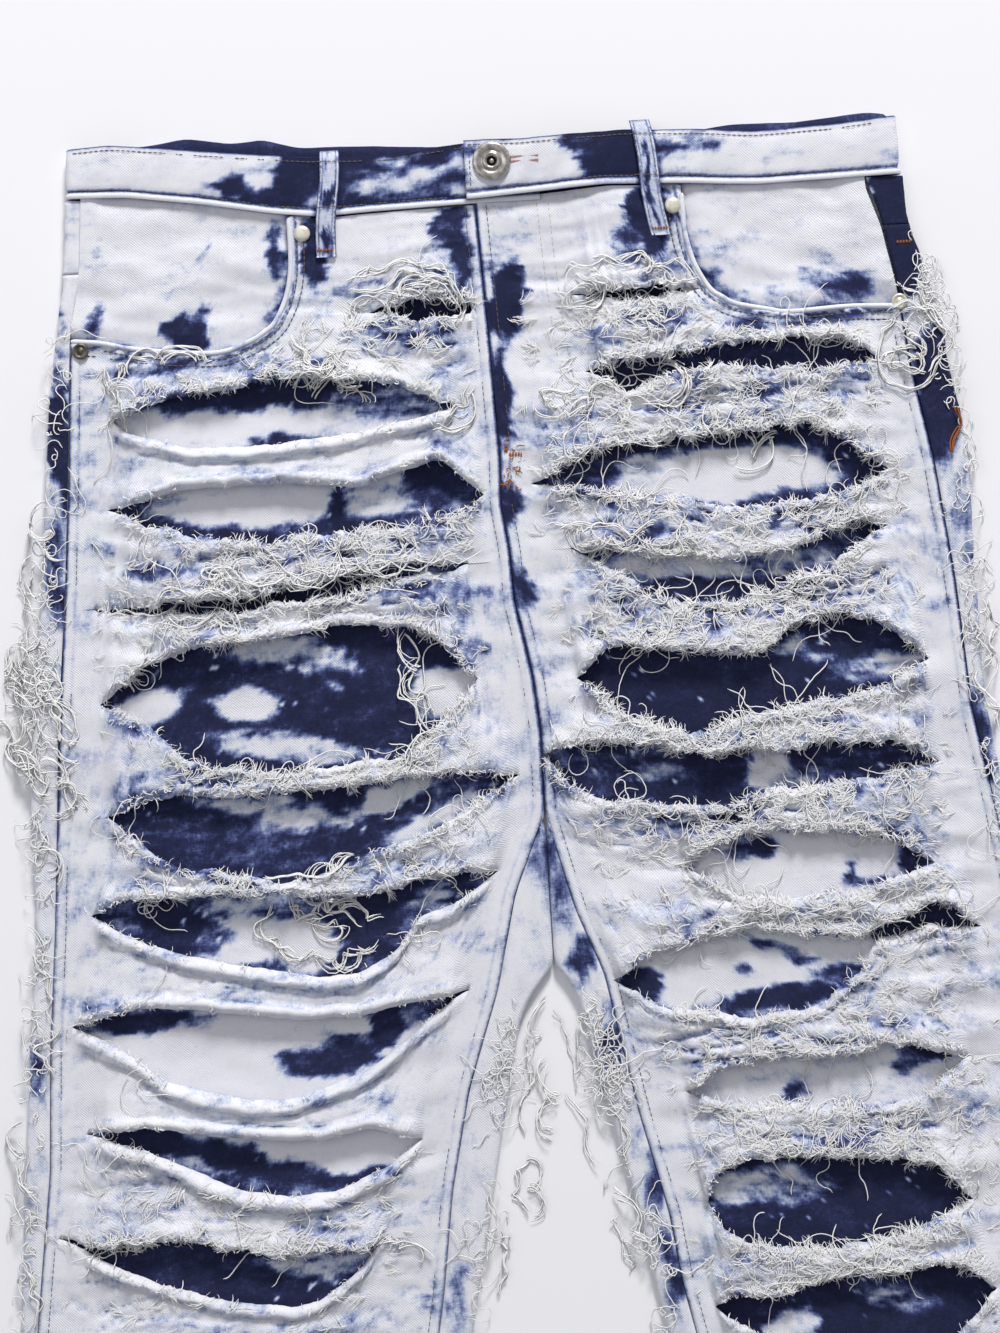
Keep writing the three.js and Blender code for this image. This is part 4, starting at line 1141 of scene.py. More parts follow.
def back_cloth(side, name, is_yoke):
    """A yoke, or a back panel under it."""
    sign = MIRROR[side]
    if is_yoke:
        nominal = np.linspace(22, YOKE_CENTRE, 26)
    else:
        seat_rows = np.arange(YOKE_SIDE, YOKE_BLEND, 2.0)
        hem_rows = HEM - np.array([24, 15, 13.5, 12, 10.5, 5, 0.0])
        nominal = np.concatenate([seat_rows, np.arange(YOKE_BLEND, HEM - 28, BACK_STEP), hem_rows])
    x, z = back_section(side, nominal)
    level = nominal[:, None]
    on_top = (np.arange(x.shape[1]) >= x.shape[1] - OVERLAP)[None, :]
    share = np.where(on_top, 1.0, np.clip(np.abs(x) / np.abs(OUTER_FOLD[side](level)), 0, 1))
    seam = mix(YOKE_CENTRE, YOKE_SIDE, share)
    if is_yoke:
        waist = np.where(on_top, FRONT_WAIST[side](sign * 210.0), BACK_WAIST(x)) + 0.6
        t = np.linspace(0, 1, len(nominal))[:, None]
        drop = mix(waist, seam - 0.3, t)
        x, z = back_section(side, drop[:, -1])
    else:
        lean = np.clip((YOKE_BLEND - level) / (YOKE_BLEND - YOKE_SIDE), 0, 1)
        drop = level + (seam - YOKE_SIDE) * lean
    inner, outer = INNER_FOLD[side](level), OUTER_FOLD[side](level)
    leg_share = np.where(on_top, 1, np.clip((x - inner) / (outer - inner), 0, 1))
    real_drop = drop + hem_tilt(level) * (0.5 - leg_share) * (not is_yoke)
    dye = dye_field(x, drop, SIDE_DYE, 0.1 + 0.1 * fbm(x / 30, drop / 30, 111), 13)
    under = z < seat_lift(drop) + 0.4
    wash = smooth(fbm(x / 42, drop / 34, 113 + sign, 5) * 2.6 - 0.15)
    dye = np.where(under, 0.1 + 0.85 * wash, dye)
    off_seam = np.abs(drop - seam)
    near_yoke = bell(off_seam, 4, 1.6) + smooth(1.5 - off_seam)
    by_centre = bell(np.abs(x), 4, 1.8) * (drop < CROTCH)
    hem_line = bell(HEM - level, 12.8, 1.2) * (not is_yoke)
    dye = dye + 0.3 * under * (near_yoke + by_centre) + 0.45 * hem_line
    points = world_points(x, real_drop, z)
    add_heights(points)
    ob = mesh_object(name, points, grid_faces(*x.shape), BACK_DENIM, cloth_values(dye))
    shell = ob.modifiers.new("thickness", "SOLIDIFY")
    shell.thickness = CLOTH_THICKNESS * MM
    shell.offset = 1 if sign > 0 else -1
    return ob


# ---------------------------------------------------------------- waistband
BAND_CLOTH = 2.2              # how thick the doubled band is
LOOP_RISE = 3.5               # how far the belt loops stand over the band
BAND_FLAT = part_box("front_belt_loop_left")[1].z / MM - LOOP_RISE
LAP_RISE = 3.5                # the buttoned end lies this much higher, on the other end
PIPING = 3.4                  # width of the white edge along the band's seam
FACE, BACK, LAP = 0, 1, 2     # parts of the way round: left front, back, right front
BAND_TOP = {
    "left": line([(-230, -8), (-205, -9), (-184, -6.5), (-150, -2), (-98, 4), (-60, 5), (-22, 1),
                  (18, 1)]),
    "right": line([(-22, 0), (10, 1), (60, -1), (100, 1), (130, 4), (170, 3), (206, 0)]),
}
BACK_TOP = line([(-230, -8), (-184, -8), (-165, -11), (-141, -6.5), (-126, -8), (-107, -2.5),
                 (-73, -1.5), (-40, 1), (-20, 2), (90, 2), (120, -1), (150, 0), (190, -3), (206, 0)])
# Where the middle of each front loop starts and ends.
FRONT_LOOPS = {"left": ((-91, 3), (-96, 56)), "right": ((71, -3), (78, 55))}


def band_path():
    """Stations round the waist, from the under end to the buttoned end: x, height and part."""
    bottom = SEAT_LIFT
    radius = (BAND_FLAT - bottom) / 2
    turn = np.radians(np.linspace(90, -90, 11))
    top_x = np.linspace(196, -21, 100)
    runs = [
        (np.linspace(17, -219, 96), BAND_FLAT, FACE),
        (-228 + radius * (1 - np.cos(turn)), bottom + radius * (1 + np.sin(turn)), FACE),
        (np.linspace(-219, 198, 120), bottom, BACK),
        (204 - radius * (1 - np.cos(-turn)), bottom + radius * (1 + np.sin(-turn)), LAP),
        (top_x, BAND_FLAT + LAP_RISE * smooth((62 - top_x) / 30), LAP),
    ]
    return (np.concatenate([x for x, _, _ in runs]),
            np.concatenate([np.broadcast_to(z, x.shape) for x, z, _ in runs]),
            np.concatenate([np.full(len(x), part) for x, _, part in runs]))


def band_face(x, part, top, seam, share):
    """Drop, height and dye of the band's outer face, at a share of the way from its top to its seam."""
    drop = mix(top, seam - 0.3, share)
    from_top, from_seam = drop - top, seam - drop
    crown = 0.55 * math.sin(math.pi * min(1, share / 0.9))
    crown = crown + 0.5 * fbm(x / 34, drop / 14 + 5 * part, 121)
    round_edge = 1.1 * np.sqrt(np.clip(1 - ((from_seam - 1.6) / 1.6) ** 2, 0, 1))
    groove = 0.8 * bell(from_seam, 4.2, 1.0) + 0.35 * bell(from_top, 2.6, 0.8)
    pucker = 2.0 * fbm((x + drop * 0.5) / 8.5, drop / 24 + 3 * part, 133, 2)
    by_seam = np.exp(-from_seam / 9) * (from_seam > PIPING)
    pucker = pucker * (0.25 + by_seam + 0.6 * np.exp(-from_top / 7))
    high = crown + round_edge - groove + np.clip(pucker, -0.9, 1.1) - 0.8 * smooth(1 - from_top / 0.6)
    dye = dye_field(x, drop, BAND_DYE, 0.06 + 0.16 * smooth(fbm(x / 26, drop / 9, 123) * 2.2), 31)
    back_wash = 0.15 + 0.8 * smooth(fbm(x / 40, drop / 18, 125) * 2.4)
    dye = np.where(part == BACK, back_wash, dye)
    dye = np.where(from_seam < PIPING, 0.03 + 0.2 * (dye > 0.6) * smooth((x + 120) / 30), dye)
    # painted shade in the groove above the white edge, and a darker top edge
    dye = dye + 0.9 * bell(from_seam, 4.1, 0.9) + 0.8 * smooth(1 - from_top / 1.3)
    # painted shadow along both sides of each front belt loop
    for (x0, d0), (x1, d1) in FRONT_LOOPS.values():
        off = np.abs(x - mix(x0, x1, (drop - d0) / (d1 - d0)))
        dye = dye + 0.6 * bell(off, 5.8, 0.9) * (part != BACK)
    return drop, high, dye


def band_lining(x, top, seam, share):
    """The same for its inner face."""
    drop = mix(top, seam - 0.3, share)
    navy = 0.93 - 0.12 * smooth(fbm(x / 18, drop / 9, 127) * 2)
    return drop, -BAND_CLOTH + 0.5 * fbm(x / 22, share * 3, 129), navy


def waistband_piece():
    """One closed strip round the waist."""
    x, z, part = band_path()
    on_face, on_back = part == FACE, part == BACK
    top = np.where(on_face, BAND_TOP["left"](x), np.where(on_back, BACK_TOP(x), BAND_TOP["right"](x)))
    seam = np.where(on_face, FRONT_WAIST["left"](x),
                    np.where(on_back, BACK_WAIST(x), FRONT_WAIST["right"](x)))
    tangent = np.stack([np.gradient(x), np.gradient(z)], 1)
    tangent /= np.linalg.norm(tangent, axis=1)[:, None]
    out_x, out_z = tangent[:, 1], -tangent[:, 0]
    shares = np.concatenate([[0.02, 0.0, 0.03], np.linspace(0.08, 0.86, 13),
                             [0.9, 0.925, 0.95, 0.975, 0.995, 1.0]])
    rows = [band_face(x, part, top, seam, share) for share in shares]
    rows += [band_lining(x, top, seam, share) for share in (1.0, 0.9, 0.5, 0.12, 0.02)]
    rows.append(rows[0])
    drop, high, dye = (np.array([row[k] for row in rows]) for k in range(3))
    points = world_points(x + out_x * high, drop, np.maximum(z + out_z * high, 0.1))
    faces = np.concatenate([grid_faces(*drop.shape), end_caps(len(x), len(rows) - 1)])
    add_heights(points)
    return mesh_object("waistband_cloth", points, faces, TRIM_DENIM, cloth_values(dye))


# ---------------------------------------------------------------- belt loops
LOOP_WIDTH = 10.5
LOOP_CLOTH = 1.5


def strap(name, place, steps, worn, seed):
    """A strip with rounded edges. place gives x, drop and z of its middle along its length."""
    x, drop, z = place(np.linspace(0, 1, steps))
    side = np.linspace(-1, 1, 13)
    rows = []
    for level, order in ((1, side), (-1, side[::-1])):
        for u in order:
            rim = math.sqrt(max(0, 1 - abs(u) ** 6))
            ridge = 0.35 * bell(abs(u), 0.8, 0.14) if level > 0 else 0
            rough = 0.25 * fbm(drop / 4, u * 3, seed)
            rows.append((x + u * LOOP_WIDTH / 2 + rough * (abs(u) > 0.9), drop,
                         z + level * LOOP_CLOTH / 2 * rim + ridge + rough * 0.6, np.full(steps, u)))
    rows.append(rows[0])
    gx, gd, gz, u = (np.array([row[k] for row in rows]) for k in range(4))
    from_middle = np.abs(u)
    streak = smooth(fbm(u * 2.2, gd / 9, seed + 2) * 2.2 + worn)
    edge_wear = 0.1 + 0.35 * smooth(fbm(gd / 3, u, seed + 4) * 3)
    dye = np.where(from_middle > 0.78, edge_wear, 0.25 + 0.7 * streak)
    dye = np.maximum(dye, 0.85 * smooth((from_middle - 0.93) / 0.05))
    dye = np.maximum(dye, 0.8 * bell(from_middle, 0.62, 0.07))
    points = world_points(gx, gd, gz)
    faces = np.concatenate([grid_faces(*gx.shape), end_caps(steps, len(rows) - 1)])
    add_heights(points)
    return mesh_object(name, points, faces, TRIM_DENIM, cloth_values(dye))


BACK_LOOPS = {"left": -148, "centre": 0, "right": 132}
LOOP_WEAR = {"left": 0.35, "right": -0.35}
BACK_LOOP_ENDS = (2.0, 51.0)


def front_loop(side):
    """A loop that stands over the waistband and is sewn down below it."""
    (x0, d0), (x1, d1) = FRONT_LOOPS[side]
    seat = SEAT_LIFT + FLAT
    at, level = zip((-0.04, BAND_FLAT - 0.6), (0.0, BAND_FLAT + 1.2), (0.1, BAND_FLAT + 2.2),
                    (0.45, BAND_FLAT + 2.6), (0.62, BAND_FLAT + 1.9), (0.8, seat + 1.9),
                    (0.93, seat + 1.6), (1.0, seat + 1.2))

    def place(t):
        s = mix(-0.04, 1.0, t)
        z = np.interp(s, at, level)
        z[2:-2] = np.convolve(z, np.ones(5) / 5, mode="valid")
        return mix(x0, x1, s) + 0.6 * np.sin(s * 7), mix(d0, d1, s), z

    return strap(f"front_loop_{side}", place, 40, LOOP_WEAR[side], 131 + MIRROR[side])


def back_loop(place_name):
    """A loop under the seat, flat on the floor."""
    def place(t):
        x = BACK_LOOPS[place_name] + 0.3 * np.sin(t * 9)
        return x, mix(*BACK_LOOP_ENDS, t), np.full(len(t), LOOP_CLOTH / 2 + 0.1)

    return strap(f"back_loop_{place_name}", place, 24, 0.0, 137 + len(place_name))


# ---------------------------------------------------------------- back pockets
BACK_POCKET = {"left": -126, "right": 119}      # x of the middle
POCKET_DROP = 78
POCKET_WIDTH = 141
POCKET_SIDE = 117             # length of its sides
POCKET_POINT = 39             # how much further down its point reaches
POCKET_TAPER = 6
POCKET_LEAN = 5               # the top corner at the side stands this much higher


def back_pocket(side):
    """A patch pocket that lies face down on the floor: two faces and the wall between their rims."""
    sign = MIRROR[side]
    left, right = BACK_POCKET[side] - POCKET_WIDTH / 2, BACK_POCKET[side] + POCKET_WIDTH / 2
    t, u = np.linspace(0, 1, 44)[:, None], np.linspace(0, 1, 40)[None, :]
    top = mix(POCKET_DROP - sign * POCKET_LEAN, POCKET_DROP + sign * POCKET_LEAN * 0.2, u)
    drop = mix(top, POCKET_DROP + POCKET_SIDE + POCKET_POINT * (1 - np.abs(u - 0.5) * 2), t)
    x = mix(left, right, u) + POCKET_TAPER * t * (0.5 - u) * 2
    rim = np.minimum(np.minimum(t * 150, (1 - t) * 150), np.minimum(u, 1 - u) * POCKET_WIDTH)
    low = 0.15 + 0.65 * (1 - smooth(rim / 1.2)) + 0.25 * bell(rim, 6, 1.5)
    dye = 0.2 + 0.7 * smooth(fbm(x / 26, drop / 20, 141 + sign) * 2.4)
    sewn = bell(rim, 3, 1.4) + bell(rim, 9, 1.4)
    dye = np.where(rim < 1.5, 0.15, dye) + 0.35 * sewn
    under = world_points(x, drop, low)
    over = world_points(x, drop, np.full_like(x, 1.6))
    faces = grid_faces(*x.shape)
    points, faces, cloth = joined([(under, faces[:, ::-1], cloth_values(dye)),
                                   (over, faces, cloth_values(dye))])
    rows, columns = x.shape
    index = np.arange(rows * columns).reshape(rows, columns)
    loop = np.concatenate([index[0], index[1:, -1], index[-1, -2::-1], index[-2:0:-1, 0]])
    after = np.roll(loop, -1)
    wall = np.stack([loop, after, after + index.size, loop + index.size], 1)
    return mesh_object(f"back_pocket_{side}_cloth", points, np.concatenate([faces, wall]),
                       BACK_DENIM, cloth)


# ---------------------------------------------------------------- button and rivets
def turned(name, profile, centre, base, material, turns):
    """A turned piece: profile is (radius, height) from its axis underneath round to the axis on top."""
    angles = np.linspace(0, 2 * math.pi, turns, endpoint=False)
    rings = []
    for radius, height in profile:
        r = max(radius, 0.01)
        rings.append(np.stack([centre[0] + r * np.cos(angles), WAIST_Y - centre[1] + r * np.sin(angles),
                               np.full(turns, base + height)], 1))
    near = np.arange(turns)
    beyond = np.roll(near, -1)
    faces = [np.stack([near, beyond, beyond + turns, near + turns], 1) + ring * turns
             for ring in range(len(profile) - 1)]
    return mesh_object(name, np.concatenate(rings), np.concatenate(faces), material)


BUTTON_PLACE = (-7, 12)
RIVETS = {"pocket_left": (-107.5, 43), "pocket_right": (85.5, 40), "side_left": (-226, 97),
          "side_right": (200, 97)}
# Profiles as (radius, height), the button's measured down from its top.
SHANK = 3
BUTTON_FACE = [(8.8, 3.1), (9.7, 2.5), (10, 1.7), (9.8, 0.9), (9.2, 0.5), (7.2, 0.45), (6.0, 0.75),
               (5.4, 1.05), (4.9, 0.9), (4.5, 0.3), (3.9, 0), (3.2, 0.1), (2.7, 0.7), (2.5, 1.8),
               (1.3, 1.9), (1.0, 1.1), (0.5, 0.9), (0, 0.9)]
HOLE_DEPTH = 1.86
HOLE = [(0, 0), (2.6, 0), (2.6, 0.12), (0, 0.12)]
RIVET_DOME = [(0, -0.6), (3.4, -0.6), (4.0, 0.4), (4.3, 0.9), (4.2, 1.3), (3.6, 1.8), (2.6, 2.1),
              (1.3, 2.25), (0, 2.3)]
RIVET_RING = [(0, -0.6), (3.4, -0.6), (4.2, 0.4), (4.3, 0.9), (3.9, 1.6), (3.1, 1.7), (2.6, 1.2),
              (1.9, 1.1), (1.4, 1.7), (0.7, 2.0), (0, 2.05)]


def button_pieces():
    """The shank button, plain, and a near-black disc of painted shade in the hollow round its middle.
    """
    low, high = (corner.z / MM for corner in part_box("waist_button"))
    rise = high - low
    under = [(0, 0), (SHANK, 0), (SHANK, rise - BUTTON_FACE[0][1])]
    profile = under + [(radius, rise - down) for radius, down in BUTTON_FACE]
    return (turned("button", profile, BUTTON_PLACE, low, BUTTON_METAL, 56),
            turned("button_painted_shade", HOLE, BUTTON_PLACE, low + rise - HOLE_DEPTH, DARK, 24))


def rivet_piece(name):
    """A domed rivet at the pocket's top, a ringed one at its side."""
    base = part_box(f"rivet_{name}")[0].z / MM
    profile = RIVET_RING if name.startswith("side") else RIVET_DOME
    shade = DARK_RIVET if name == "side_left" else RIVET_METAL
    return turned(f"rivet_{name}_cap", profile, RIVETS[name], base, shade, 28)


# ---------------------------------------------------------------- threads
FLATNESS = 0.27               # loose cotton flattens where it lies
TILT = 0.35                   # how far a fine fibre may be turned about its own length
FLOOR_CLEAR = 0.15            # threads keep this far above the floor
TUFT_SPACING = 9              # fibres that stand together in one tuft along an edge
TUFT = 7                      # fibres in each tuft on a band
TUFTS_PER_AREA = 0.027        # on the furriest cloth, for each square millimetre
LOCK = 4                      # threads that run together through a hank
ROUND = 6.28
POCKET_CLEAR = 11             # loose fibres keep this far off the sewn edge of the pocket
FUZZ_PER_MM = 5.8             # short fibres along the furriest edge
LONG_PER_MM = 0.2             # long threads along it
FUZZ_RADIUS, COARSE_RADIUS = 0.13, 0.25   # most fibres, and one in five of them
COARSE_SHARE = 0.2
HANK_LIFT = 0.4


def tubes(paths, radius, sides=3, taper=0.35, flatness=FLATNESS):
    """Threads along paths, an array of (thread, point, 3)."""
    paths = np.asarray(paths, float)
    threads, steps, _ = paths.shape
    tangent = np.gradient(paths, axis=1)
    tangent /= np.linalg.norm(tangent, axis=2, keepdims=True) + 1e-9
    across = np.cross(tangent, np.array([0, 0, 1.0]))
    length = np.linalg.norm(across, axis=2, keepdims=True)
    across = np.where(length > 0.05, across / (length + 1e-9), np.array([1.0, 0, 0]))
    up = np.cross(across, tangent)
    radius = np.broadcast_to(np.asarray(radius, float), (threads,))[:, None, None, None]
    thin = np.ones(steps)
    thin[-1] = thin[0] = taper
    angles = np.arange(sides) * 2 * math.pi / sides + math.pi / 2
    ring = (np.cos(angles)[None, None, :, None] * across[:, :, None, :]
            + flatness * np.sin(angles)[None, None, :, None] * up[:, :, None, :])
    points = paths[:, :, None, :] + ring * radius * thin[None, :, None, None]
    index = np.arange(threads * steps * sides).reshape(threads, steps, sides)
    beyond = np.roll(index, -1, axis=2)
    faces = np.stack([index[:, :-1], beyond[:, :-1], beyond[:, 1:], index[:, 1:]], -1)
    return points.reshape(-1, 3), faces.reshape(-1, 4)


def fibres(paths, radius, rng):
    """Fine flat fibres along paths, each turned a little about its own length."""
    tangent = np.gradient(paths, axis=1)
    across = np.cross(tangent, np.array([0, 0, 1.0]))
    across /= np.linalg.norm(across, axis=2, keepdims=True) + 1e-9
    across[:, :, 2] += rng.uniform(-TILT, TILT, len(paths))[:, None]
    thin = np.ones(paths.shape[1])
    thin[-1] = 0.3
    half = across * np.asarray(radius)[:, None, None] * thin[None, :, None]
    points = np.stack([paths - half, paths + half], 2)
    index = np.arange(points[..., 0].size).reshape(points.shape[:3])
    faces = np.stack([index[:, :-1, 0], index[:, 1:, 0], index[:, 1:, 1], index[:, :-1, 1]], -1)
    return points.reshape(-1, 3), faces.reshape(-1, 4)


def thread_object(name, groups, material=None, shape=tubes):
    """One mesh of several groups of threads: (paths, radius, shade) each."""
    parts = []
    for paths, radius, shade in groups:
        if not len(paths):
            continue
        points, faces = shape(paths, radius)
        parts.append((points, faces, cloth_values(np.repeat(shade, len(points) // len(paths)))))
    points, faces, cloth = joined(parts)
    points[:, 2] = np.maximum(points[:, 2], FLOOR_CLEAR)
    return mesh_object(name, points, faces, material or FRAYED, cloth)


def fibre_object(name, groups, rng):
    """The same of fine flat fibres."""
    return thread_object(name, groups, shape=lambda paths, radius: fibres(paths, radius, rng))


def wander(starts, heading, length, steps, curl, rng, lift, rise, turn=0.0):
    """Paths that wander over the cloth from starting places (x, y), heading in radians.

    curl is how sharply they bend at random and turn how they all bend, in radians a step. lift is
    how far they lie off the cloth and rise how far their middles may stand up.
    """
    count = len(starts)
    heading = np.broadcast_to(heading, (count,)).astype(float).copy()
    length = np.broadcast_to(length, (count,)).astype(float)
    bend = rng.normal(0, curl, count) + turn
    x, y = starts[:, 0].copy(), starts[:, 1].copy()
    arch = rng.uniform(0.2, 1.0, count) * rise
    out = np.empty((count, steps, 3))
    stride = length / (steps - 1)
    for k in range(steps):
        share = k / (steps - 1)
        out[:, k, 0], out[:, k, 1] = x, y
        out[:, k, 2] = height_at(x, y) + lift + arch * math.sin(math.pi * share)
        bend = 0.75 * bend + rng.normal(0, curl * 0.7, count)
        heading = heading + bend
        x = x + np.cos(heading) * stride
        y = y + np.sin(heading) * stride
    z = out[:, :, 2]
    padded = np.pad(z, ((0, 0), (1, 1)), mode="edge")
    out[:, :, 2] = np.maximum(z, (padded[:, :-2] + padded[:, 2:]) / 2)
    return out


def edge_samples(route_x, route_drop, weight, per_mm, rng):
    """x and drop of random places along an edge, more of them where the weight is higher."""
    step = np.hypot(np.diff(route_x), np.diff(route_drop))
    mass = step * (weight[:-1] + weight[1:]) / 2
    total = mass.sum()
    count = int(total * per_mm)
    if count < 1:
        return np.zeros(0), np.zeros(0)
    at = np.sort(rng.uniform(0, total, count))
    tuft = TUFT_SPACING / per_mm
    at = np.clip(mix(at, (np.floor(at / tuft) + rng.uniform(0.2, 0.8)) * tuft, 0.6), 0, total)
    place = np.interp(at, np.concatenate([[0], np.cumsum(mass)]), np.arange(len(route_x)))
    index = np.arange(len(route_x))
    return np.interp(place, index, route_x), np.interp(place, index, route_drop)


def clumped(x, seed):
    """A value from -1 to 1 that neighbouring threads share."""
    return fbm(x / 5, 3.1, seed, 3)


def scattered(start, end, per_mm, seed, rng):
    """Random drops between two, in clumps."""
    count = int((end - start) * per_mm)
    drop = rng.uniform(start, end, count)
    return drop[clumped(drop / 1.6, seed) > rng.uniform(-0.35, 0.5, count)]


def clear_of_pocket(side, x, drop):
    """Whether loose fibres may lie here: not in the pocket opening or on its sewn edge."""
    route, opening = pocket_opening(side, 3)
    return (nearest_on(route, x, drop)[2] > POCKET_CLEAR) & ~inside(opening, x, drop)


def one_of_two(count, rng):
    """True or False for each, at random."""
    return rng.uniform(size=count) < 0.5


def edge_fuzz(side, edges, rng):
    """Short threads along every open slash edge, and longer ones that curl off it."""
    short, long_threads = [], []
    for k, (tx, td), (bx, bd), open_top, open_bottom, band in edges:
        for x0, d0, opened, way, fur in ((tx, td, open_top, 1, band[3]),
                                         (bx, bd, open_bottom, -1, band[4])):
            # on the left front even the smooth edges fray towards both ends of the slashes
            ends = smooth((x0 + 90) / 30) + smooth((-195 - x0) / 25) if side == "left" else 0 * x0
            fur = np.clip(fur + 0.5 * ends, 0, 1)
            clump = 0.35 + 0.65 * smooth(fbm(x0 / 14, k + way * 3, 201, 2) * 2.2 + 0.4 * fur)
            weight = opened * clump * (0.04 + 0.96 * fur) * clear_of_pocket(side, x0, d0)
            x, drop = edge_samples(x0, d0, weight, FUZZ_PER_MM, rng)
            if not len(x):
                continue
            fur = np.interp(x, np.sort(x0), fur[np.argsort(x0)])
            inset = rng.uniform(-1, 4, len(x)) + 3 * fur * rng.uniform(0, 1, len(x)) ** 2
            starts = np.stack([x + rng.normal(0, 0.5, len(x)), WAIST_Y - drop - way * inset], 1)
            lean = 2.6 * fbm(x / 2.2, 3.1, 211 + k, 2)
            heading = way * math.pi / 2 + lean + rng.normal(0, 0.55, len(x))
            length = rng.uniform(2.5, 5, len(x)) * (0.6 + 1.2 * fur * smooth(clumped(x, 217 + k) + 0.4))
            paths = wander(starts, heading, length, 5, 0.5, rng, 0.25, 1.2, 0.3 * np.sign(lean))
            coarse = rng.uniform(size=len(x)) < COARSE_SHARE
            thick = np.where(coarse, COARSE_RADIUS, FUZZ_RADIUS)
            thick = thick * rng.uniform(0.8, 1.15, len(x))
            short.append((paths, thick, rng.uniform(-0.4, 0.15, len(x))))
            x, drop = edge_samples(x0, d0, weight ** 1.5, LONG_PER_MM, rng)
            if len(x):
                starts = np.stack([x, WAIST_Y - drop - way * rng.uniform(0, 3, len(x))], 1)
                heading = np.where(one_of_two(len(x), rng), 0, math.pi) + rng.normal(0, 0.7, len(x))
                paths = wander(starts, heading, rng.uniform(10, 42, len(x)), 18, 0.28, rng, 0.9, 2.8)
                long_threads.append((paths, rng.uniform(0.26, 0.4, len(x)),
                                     rng.uniform(-0.3, 0.1, len(x))))
    return short, long_threads


def band_shag(side, edges, rng):
    """Loose fibres lying over the furry bands."""
    groups = []
    for k, (tx, td), (bx, bd), _, _, band in edges:
        fur = (band[3] + band[4]) / 2
        if k in (0, len(edges) - 1) or fur < 0.25:
            continue
        area = float(np.sum(np.maximum(bd - td, 0)) * abs(tx[-1] - tx[0]) / len(tx))
        tufts = int(area * TUFTS_PER_AREA * fur)
        column = (6 + rng.beta(1.7, 1.7, tufts) * (len(tx) - 13)).astype(int)
        share = rng.uniform(0.04, 0.96, tufts)
        x = mix(tx[column], bx[column], share) + rng.uniform(-1, 1, tufts)
        drop = mix(td[column], bd[column], share)
        keep = fbm(x / 11, drop / 7, 221) + 0.35 * fur > rng.uniform(-0.3, 0.5, tufts)
        keep &= clear_of_pocket(side, x, drop)
        x, drop = x[keep], drop[keep]
        turn = np.where(one_of_two(len(x), rng), 0.24, -0.24)
        heading = rng.choice([0, math.pi], len(x)) + rng.normal(0, 0.55, len(x))
        shade = fbm(x / 9, drop / 6, 229) * 0.5
        x, drop, turn, heading, shade = (np.repeat(a, TUFT) for a in (x, drop, turn, heading, shade))
        x, drop = x + rng.normal(0, 0.7, len(x)), drop + rng.normal(0, 0.7, len(x))
        starts = np.stack([x, WAIST_Y - drop], 1)
        paths = wander(starts, heading + rng.normal(0, 0.22, len(x)), rng.uniform(4, 10, len(x)), 5,
                       0.15, rng, 0.3, 1.6, turn)
        groups.append((paths, rng.uniform(0.1, 0.19, len(x)),
                       np.clip(shade + rng.uniform(-0.35, 0.05, len(x)), -0.4, 0.7)))
    return groups


def bundle(route, count, width, rng, steps=28, wild=1.0):
    """A tangle of threads that follows a route of (x, drop). wild is how far they loop off it."""
    middle = smooth_route(route, 2.0)
    length = np.hypot(*np.diff(middle[:, :2], axis=0).T).sum()
    at = np.linspace(0, len(middle) - 1, steps)
    cx = np.interp(at, np.arange(len(middle)), middle[:, 0])
    cd = np.interp(at, np.arange(len(middle)), middle[:, 1])
    normal = sideways(np.stack([cx, cd], 1))
    paths = np.empty((count, steps, 3))
    share = np.linspace(0, 1, steps)
    index = np.arange(steps)
    for n in range(count):
        if n % LOCK == 0:
            first = rng.uniform(-0.05, 0.5)
            last = min(1.08, first + rng.uniform(0.35, 0.9))
            place = rng.normal(0, 0.45)
            turns = (last - first) * length / rng.uniform(12, 26)
            loop = rng.uniform(0.8, 4.6) * wild * (rng.uniform() < 0.7)
            phase, way = rng.uniform(0, ROUND), rng.choice([-1, 1])
            lock = n
        s = mix(first + rng.normal(0, 0.03), last + rng.normal(0, 0.04), share)
        apart = rng.normal(0, 0.55) + 0.8 * fbm(s * length / 11, np.full(steps, n * 3.1), 243, 2)
        side = place + wild * 1.5 * fbm(s * length / 16, np.full(steps, lock * 7.7), 241, 3)
        spin = phase + rng.normal(0, 0.2) + ROUND * turns * share * way
        spot = np.clip(s, 0, 1) * (steps - 1)
        beyond = (s - np.clip(s, 0, 1)) * length
        nx, nd = np.interp(spot, index, normal[:, 0]), np.interp(spot, index, normal[:, 1])
        off = side * width / 2 + apart
        x = np.interp(spot, index, cx) + off * nx + loop * np.cos(spin) + beyond * nd
        drop = np.interp(spot, index, cd) + off * nd + loop * np.sin(spin) - beyond * nx
        y = WAIST_Y - drop
        paths[n, :, 0], paths[n, :, 1] = x, y
        rise = np.maximum(0, rng.uniform(-0.5, 3.0) + 1.2 * np.sin(spin * 0.7))
        paths[n, :, 2] = height_at(x, y) + HANK_LIFT + rise
    for _ in range(2):
        z = paths[:, :, 2]
        paths[:, 1:-1, 2] = np.maximum(z[:, 1:-1], (z[:, :-2] + z[:, 2:]) / 2)
    return paths, rng.uniform(0.3, 0.46, count), rng.uniform(-0.35, 0.05, count)


